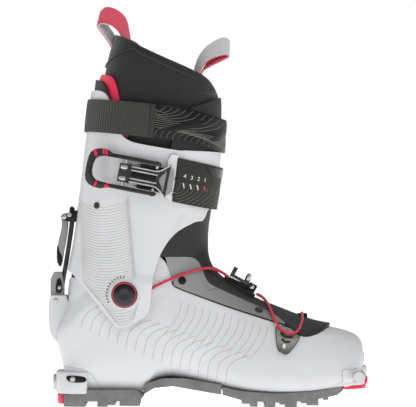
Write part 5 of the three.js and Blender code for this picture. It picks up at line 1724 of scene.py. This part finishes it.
def build_cuff_buckle():
    ears = [prism("ear", rounded_path([(-15, sign * 8.8), (6, sign * 8.8), (7.2, sign * 9.4), (6, sign * 10.0),
                                       (-15, sign * 10.0)], True, 3), -1.4, 2.2, to_world=on_buckle)
            for sign in (1, -1)]
    foot = prism("foot", [(-15, -11), (7, -11), (7, 11), (-15, 11)], 1.7, 2.3, to_world=on_buckle)
    base = join("cuff_buckle_base_finish", [*ears, foot], "black_plastic")
    keep(round_edges(base, 0.4), "cuff", "black_plastic", "cuff_buckle_base")
    for node, low, high in (("cuff_buckle_rivet_lower", -16.2, -8.4), ("cuff_buckle_rivet_upper", 8.4, 16.2)):
        pin = bar_with_ends(node + "_finish", 1.7, 0, 0, low, high, "steel")
        keep(pin, "cuff", "steel", node)
        sign = math.copysign(1, low + high)
        boss = turned(node + "_boss", [(0, 0), (2.1, 0), (2.3, 0.4), (2.0, 1.1), (1.2, 1.3), (1.0, 0.7), (0, 0.7)],
                      on_buckle(0, sign * 13.3, -2.3), Vector(on_buckle(0, 0, -1)) - Vector(on_buckle(0, 0, 0)),
                      "dark_metal", 32)
        keep(boss, "cuff_buckle_lever", "dark_metal")
    outer = mirrored([(3.4, 13.4), (2, 15), (-14, 15.2), (-28, 15.1), (-41, 15.1), (-43.2, 16.4), (-46, 17.5),
                      (-52, 17.3), (-57, 15.4), (-60, 12.4), (-61.3, 8), (-61.6, 3)])
    inner = mirrored([(3.4, 11.5), (-14, 11.5), (-34, 11.5), (-46, 11.3), (-51.6, 10.2), (-54.8, 7.4), (-56, 3)])
    lever = prism("cuff_buckle_lever_finish", [*outer, *reversed(inner)], -2.4, 2.4, "smoked_plastic",
                  to_world=on_buckle)
    keep(round_edges(lever, 0.9, 3, 35), "cuff_buckle_lever", "dark_plastic", "cuff_buckle_lever")
    quads = [[(-58.4, 14.6), (-56, 15.9), (-52.8, 9.7), (-54.4, 8.3)],
             [(-50.2, 17.4), (-48.6, 17.5), (-46.8, 11.1), (-48.4, 11)],
             [(-47.8, 17.5), (-46, 17.6), (-44.2, 11.2), (-46, 11.1)],
             [(-52.2, -17.4), (-50.2, -17.5), (-48.8, -10.9), (-50.6, -10.7)],
             [(-42.8, -16.3), (-39, -15.2), (-37.6, -11.4), (-41.4, -11.4)]]
    stripes = join("cuff_buckle_inlays", [prism("stripe", quad, -2.62, 2.3, to_world=on_buckle) for quad in quads],
                   "red_plastic")
    keep(round_edges(stripes, 0.2, 1, 35), "cuff_buckle_lever", "red_plastic")
    # Black strands along the lever's arms and rim: painted shade in its grooves, which are not cut.
    groove_shades = []
    for sign in (1, -1):
        route = [on_buckle(u, sign * 13.2, -2.45) for u in np.linspace(-4, -40, 10)]
        groove_shades.append((np.array(route), (0, -1, 0)))
    rim = [on_buckle(u, v, -2.35) for u, v in rounded_path(
        mirrored([(-36, 12.6), (-48, 12.4), (-53.4, 10.6), (-56.4, 7.2), (-57.4, 2)]), False, 4)]
    groove_shades.append((np.array(rim), (0, -1, 0)))
    lines = strands("cuff_buckle_lever_groove_shade", groove_shades, "black_plastic", 0.45, 6)
    keep(lines, "cuff_buckle_lever", "black_plastic")
    pin = bar_with_ends("cuff_buckle_bail_pin_finish", 1.7, -28, 0, -15.6, 15.6, "steel")
    keep(pin, "cuff_buckle_lever", "steel", "cuff_buckle_bail_pin")

    block_piece = prism("bail_block", rounded_path(mirrored([(-22.2, 7.4), (-24.4, 8), (-31, 8), (-32.4, 6.4)]),
                                                   True, 3), -3, 3, to_world=on_buckle)
    cheeks = [prism("bail_cheek", [(-23, sign * 3.4), (3, sign * 3.4), (3, sign * 7.4), (-23, sign * 7.4)],
                    -1.1, 1.5, to_world=on_buckle) for sign in (1, -1)]
    fork = prism("bail_fork", mirrored([(0.6, 7.4), (4, 8), (7.6, 10.8), (11.6, 14.8)]), -1.5, 1.5,
                 holes=[rounded_path(mirrored([(3.6, 1.6), (5.6, 4.6), (9, 9.2)]), True, 3)], to_world=on_buckle)
    bail = join("cuff_buckle_bail_finish", [block_piece, *cheeks, fork], "dark_metal")
    keep(round_edges(bail, 0.6), "cuff_buckle_bail", "dark_metal", "cuff_buckle_bail")
    routes = [(curve_through([on_buckle(u, sign * v, -1.3) for u, v in ((-24, 6.6), (-10, 6.7), (0, 6.8), (5.2, 9),
                                                                        (11.2, 14.2))], 6), (0, -1, 0))
              for sign in (1, -1)]
    routes += [(np.array([on_buckle(u, sign * 3.6, -1.2) for u in np.linspace(-22, 2, 8)]), (0, -1, 0))
               for sign in (1, -1)]
    keep(strands("cuff_buckle_bail_rods", routes, "steel", 0.75, 12), "cuff_buckle_bail", "steel")
    pads = [prism("pad", rounded_path([(-30.8, v - 1.5), (-25.6, v - 1.5), (-25.6, v + 1.5),
                                       (-30.8, v + 1.5)], True, 3), -3.8, -2.9, to_world=on_buckle)
            for v in (-4.9, 4.9)]
    heads = join("cuff_buckle_bail_heads", pads, "steel")
    keep(round_edges(heads, 0.4), "cuff_buckle_bail", "steel")
    trim = prism("cuff_buckle_bail_inlay", [(-21, -3.2), (2, -3.2), (2, 3.2), (-21, 3.2)], -0.6, 1.0,
                 "black_plastic", to_world=on_buckle)
    keep(round_edges(trim, 0.3), "cuff_buckle_bail", "black_plastic")
    web = prism("cuff_buckle_bail_web", mirrored([(3.4, 1.4), (9.2, 9.4)]), -0.5, 0.7, "throat_grey",
                to_world=on_buckle)
    keep(round_edges(web, 0.2), "cuff_buckle_bail", "throat_grey")
    catch = prism("strap_catch_finish", rounded_path(mirrored([(11.4, 10.8), (13, 11.6), (15, 9.4), (15.8, 4)]),
                                                     True, 4), -1.0, 2.2, "throat_grey",
                  to_world=on_buckle)
    keep(round_edges(catch, 0.6), "cuff", "throat_grey", "strap_catch")
    finish_node("cuff_strap_rivet", "cuff", "steel", "steel", 0.4)


def build_strap_numbers():
    """The strap's four setting numbers, each over a slot."""
    pale = "number_paint"
    made = []
    for digit, px, pz in (("4", -21.1, 202.6), ("3", -15.3, 201.2), ("2", -9.6, 200.2), ("1", -4.2, 199.3)):
        curve = bpy.data.curves.new("digit", "FONT")
        curve.body = digit
        curve.size = 4.9
        curve.align_x = "CENTER"
        curve.align_y = "CENTER"
        curve.extrude = 0.12
        mesh = flattened("digit", curve)
        co = np.array([vert.co for vert in mesh.vertices])
        turn = math.radians(-10)
        x = px + co[:, 0] * math.cos(turn) - co[:, 1] * math.sin(turn)
        z = pz + co[:, 0] * math.sin(turn) + co[:, 1] * math.cos(turn)
        points, out = CUFF.on_skin(np.stack([x, z], -1), LATERAL, 2.35)
        points = points + out * co[:, 2:3]
        for vert, point in zip(mesh.vertices, points):
            vert.co = Vector(metres(point))
        made.append(new_object("digit", mesh, pale))
    digits = join("strap_numbers", made, pale)
    keep(digits, "cuff", "white_shell")
    for name, spots, finish in (("strap_number_slots", ((-22.4, 194.6), (-16.4, 193.6), (-10.6, 192.8)),
                                 "number_paint"), ("strap_number_slot_first", ((-4.8, 192),), "red_plastic")):
        routes = [line_on(CUFF, [(x - 0.5, z + 2.2), (x + 0.1, z), (x + 0.5, z - 2.2)], LATERAL, 2.35, 0.5)
                  for x, z in spots]
        slots = strands(name, routes, finish, 0.55, 8)
        keep(slots, "cuff", "white_shell" if finish == "number_paint" else "red_plastic")


# ---- Instep buckle ----

def build_instep_buckle():
    for node, body, finish, rounding in (
        ("instep_buckle_base", "shell", "black_plastic", 0.6),
        ("instep_buckle_rack", "shell", "smoked_plastic", 0.3),
        ("instep_buckle_pin", "shell", "steel", 0.3),
        ("instep_buckle_lever", "instep_buckle_lever", "dark_metal", 0.6),
        ("lace_eyelet", "shell", "black_plastic", 0.8),
    ):
        finish_node(node, body, finish, "dark_plastic" if finish == "smoked_plastic" else finish, rounding)
    bed = prism("instep_buckle_bed", [(15, 115.2), (37, 105.8), (38.2, 101), (14.6, 110.4)], -7.6, 7.6,
                "black_plastic")
    keep(round_edges(bed, 0.6), "shell", "black_plastic")
    post = side_plates("instep_buckle_posts", [(32, 108.6), (35.6, 107), (39, 114.6), (35.6, 116.2)], 4.4, 6.4,
                       "dark_metal", 0.4)
    keep(post, "shell", "dark_metal")
    cap = side_plates("instep_buckle_caps", [(36.2, 116.1), (38.9, 114.9), (36.9, 110.4), (34.3, 111.6)], 6.35, 6.9,
                      "steel", 0.2)
    keep(cap, "shell", "steel")


# ---- Stage ----

FLOOR_RADIUS = 30.0


def build_stage():
    sizes = bpy.context.scene.boot_sizes
    backdrop = Finish("studio_paper", 0.95, Emission_Color=(1, 1, 1, 1), Emission_Strength=sizes.paper_glow)
    paper = backdrop.noise(backdrop.place(), 0.02, 2)
    backdrop.feed("Base Color", backdrop.mix(paper, tone(250), tone(253)))
    turns = np.linspace(0, 2 * np.pi, 96, endpoint=False)
    rim = [(FLOOR_RADIUS * math.cos(turn), FLOOR_RADIUS * math.sin(turn), 0) for turn in turns]
    mesh = bpy.data.meshes.new("studio_floor")
    mesh.from_pydata(rim, [], [tuple(range(len(rim)))])
    floor = new_object("studio_floor", mesh, "studio_paper")
    world = bpy.data.worlds.new("studio_air")
    world.use_nodes = True
    tree = world.node_tree
    air, wall = (wired(tree, "ShaderNodeBackground", inputs={"Color": (1, 1, 1, 1), "Strength": strength})
                 for strength in (sizes.ambient, 1.0))
    seen = wired(tree, "ShaderNodeLightPath").outputs["Is Camera Ray"]
    both = wired(tree, "ShaderNodeMixShader", inputs={0: seen, 1: air.outputs[0], 2: wall.outputs[0]})
    tree.links.new(both.outputs[0], tree.nodes["World Output"].inputs["Surface"])
    bpy.context.scene.world = world
    for name, place, aim, size, power in (
        ("key_light", (0.45, -1.2, 1.3), (0, 0, 0.15), 0.9, sizes.key_power),
        ("fill_light", (-1.35, -1.1, 0.55), (0, 0, 0.2), 1.2, sizes.key_power * 0.42),
        ("top_light", (0.35, 0.05, 1.5), (0.05, 0, 0.1), 1.1, sizes.key_power * 0.85),
        ("rim_light", (-1.3, 0.8, 0.7), (0, 0, 0.15), 0.8, sizes.key_power * 0.4),
    ):
        lamp = bpy.data.lights.new(name, "AREA")
        lamp.shape = "DISK"
        lamp.size = size
        lamp.energy = power
        thing = in_scene(name, lamp)
        thing.location = place
        thing.rotation_euler = (Vector(aim) - Vector(place)).to_track_quat("-Z", "Y").to_euler()
    camera = bpy.data.cameras.new("studio_camera")
    camera.sensor_width = 36
    camera.lens = 36 * sizes.camera_distance / sizes.frame_width
    camera.clip_start = 0.05
    camera.clip_end = 80
    viewer = in_scene("studio_camera", camera)
    viewer.location = (sizes.camera_x, -sizes.camera_distance, sizes.camera_height)
    viewer.rotation_euler = (math.radians(90), 0, 0)
    bpy.context.scene.camera = viewer
    bpy.context.scene.view_settings.view_transform = "Standard"


# ---- Properties, operators and panel ----

class BootColours(bpy.types.PropertyGroup):
    """The boot's main colours."""

    def colour(name, description, value):
        return bpy.props.FloatVectorProperty(name=name, description=description, default=value, size=4, min=0.0,
                                             max=1.0, subtype="COLOR")

    shell: colour("Shell", "The white of the lower shell and the cuff", tone(222, (0.985, 0.99, 1.0)))
    panel: colour("Throat panels", "Their grey at the ankle end", tone(146))
    panel_toe: colour("Throat panels, toe", "Their darker grey at the toe end", tone(112))
    tongue: colour("Tongue", "The dark grey of the tongue and the spoiler", tone(46))
    trim: colour("Black trim", "The black of the power strap's tab and small parts", tone(16))
    strap: colour("Cuff strap", "The olive black of the numbered strap", tone(46, (1, 0.98, 0.88)))
    accent: colour("Accent", "The red of the inner spoiler, bumpers and rings", tone(232, (1, 0.17, 0.34)))
    liner: colour("Liner", "The darkest yarn of the liner", tone(24))
    rubber: colour("Sole", "The grey of the outsole's rubber", tone(112))


LENGTH = {"unit": "LENGTH"}


class BootSizes(bpy.types.PropertyGroup):
    """What a user may change about the boot and its picture."""

    def size(name, description, default, **kind):
        return bpy.props.FloatProperty(name=name, description=description, default=default, **kind or LENGTH)

    shell_wall: size("Cuff wall", "Thickness of the cuff's plastic", 0.0024)
    liner_wall: size("Liner wall", "Thickness of the liner's shaft", 0.0092)
    lace_radius: size("Lace radius", "Radius of the red instep laces", 0.00115)
    tape_width: size("Loop width", "Width of the pull loops' tape", 0.0188)
    key_power: size("Key light", "Power of the main studio light", 5.0, min=0.0, unit="POWER")
    ambient: size("Ambient", "Strength of the even light all round", 0.34, min=0.0)
    paper_glow: size("Paper glow", "How brightly the studio's paper is lit from behind", 0.8, min=0.0)
    camera_distance: size("Camera distance", "From the boot's middle plane to the camera", 2.6)
    frame_width: size("Frame width", "How much of the boot's middle plane the picture is wide", 0.3702)
    camera_x: size("Camera along", "Where along the boot the camera stands", 0.0002)
    camera_height: size("Camera height", "Height of the camera above the floor", 0.1789)


def operator_for(key, label, help_text, build):
    """One operator that makes a piece or a group of like pieces."""

    def execute(self, context):
        build()
        return {"FINISHED"}

    return type("BOOT_OT_" + key, (bpy.types.Operator,), {
        "__doc__": help_text, "bl_idname": "boot." + key, "bl_label": label, "execute": execute})


OPERATORS = [operator_for(*row) for row in (
    ("finishes", "Finishes", "Make every finish the boot uses", make_finishes),
    ("stage", "Stage", "Set up the floor, the lights and the camera", build_stage),
    ("lower_shell", "Lower shell", "Build the white lower shell", build_lower_shell),
    ("shell_details", "Shell lines", "Lay the shell's contour lines", build_shell_details),
    ("cuff", "Cuff", "Build the cuff and its contour lines", build_cuff),
    ("spoilers", "Spoilers", "Build the two rear spoilers", build_spoilers),
    ("liner", "Liner", "Build the liner, its piping and stitches", build_liner),
    ("tongue", "Tongue", "Build the tongue, which bends at the ankle", build_tongue),
    ("panels", "Throat panels", "Build the panels, their gasket and rivets", build_panels),
    ("straps", "Straps", "Build the power strap and the cuff strap", build_straps),
    ("loops", "Pull loops", "Build the two pull loops", build_loops),
    ("laces", "Laces", "Run the instep laces", build_laces),
    ("guides", "Lace guides", "Build the lace guides", build_cable_guides),
    ("sole", "Sole", "Build the sole and bumpers", build_sole),
    ("fittings", "Fittings", "Build the toe and heel fittings", build_fittings),
    ("inside", "Inside", "Build the boot board and the footbed", build_inside),
    ("pivots", "Pivots", "Build the ankle pivots", build_pivots),
    ("mechanism", "Walk mechanism", "Build the lock bar, bracket and lever", build_mechanism),
    ("cuff_buckle", "Cuff buckle", "Build the cuff's buckle", build_cuff_buckle),
    ("strap_numbers", "Strap numbers", "Set the numbers on the cuff strap", build_strap_numbers),
    ("instep_buckle", "Instep buckle", "Build the instep's buckle", build_instep_buckle),
)]


class BOOT_PT_panel(bpy.types.Panel):
    """Lists the boot's pieces in the sidebar."""

    bl_label = "Ski Touring Boot"
    bl_idname = "BOOT_PT_panel"
    bl_space_type = "VIEW_3D"
    bl_region_type = "UI"
    bl_category = "Boot"

    def draw(self, context):
        for values in (context.scene.boot_sizes, context.scene.boot_colours):
            for key in type(values).__annotations__:
                self.layout.prop(values, key)
        for operator in OPERATORS:
            self.layout.operator(operator.bl_idname)


def register():
    bpy.utils.register_class(BootSizes)
    bpy.utils.register_class(BootColours)
    for operator in OPERATORS:
        bpy.utils.register_class(operator)
    bpy.utils.register_class(BOOT_PT_panel)
    bpy.types.Scene.boot_sizes = bpy.props.PointerProperty(type=BootSizes)
    bpy.types.Scene.boot_colours = bpy.props.PointerProperty(type=BootColours)


def unregister():
    del bpy.types.Scene.boot_sizes, bpy.types.Scene.boot_colours
    bpy.utils.unregister_class(BOOT_PT_panel)
    for operator in reversed(OPERATORS):
        bpy.utils.unregister_class(operator)
    bpy.utils.unregister_class(BootColours)
    bpy.utils.unregister_class(BootSizes)


def main():
    register()
    for operator in OPERATORS:
        group, key = operator.bl_idname.split(".")
        getattr(getattr(bpy.ops, group), key)()


if __name__ == "__main__":
    main()
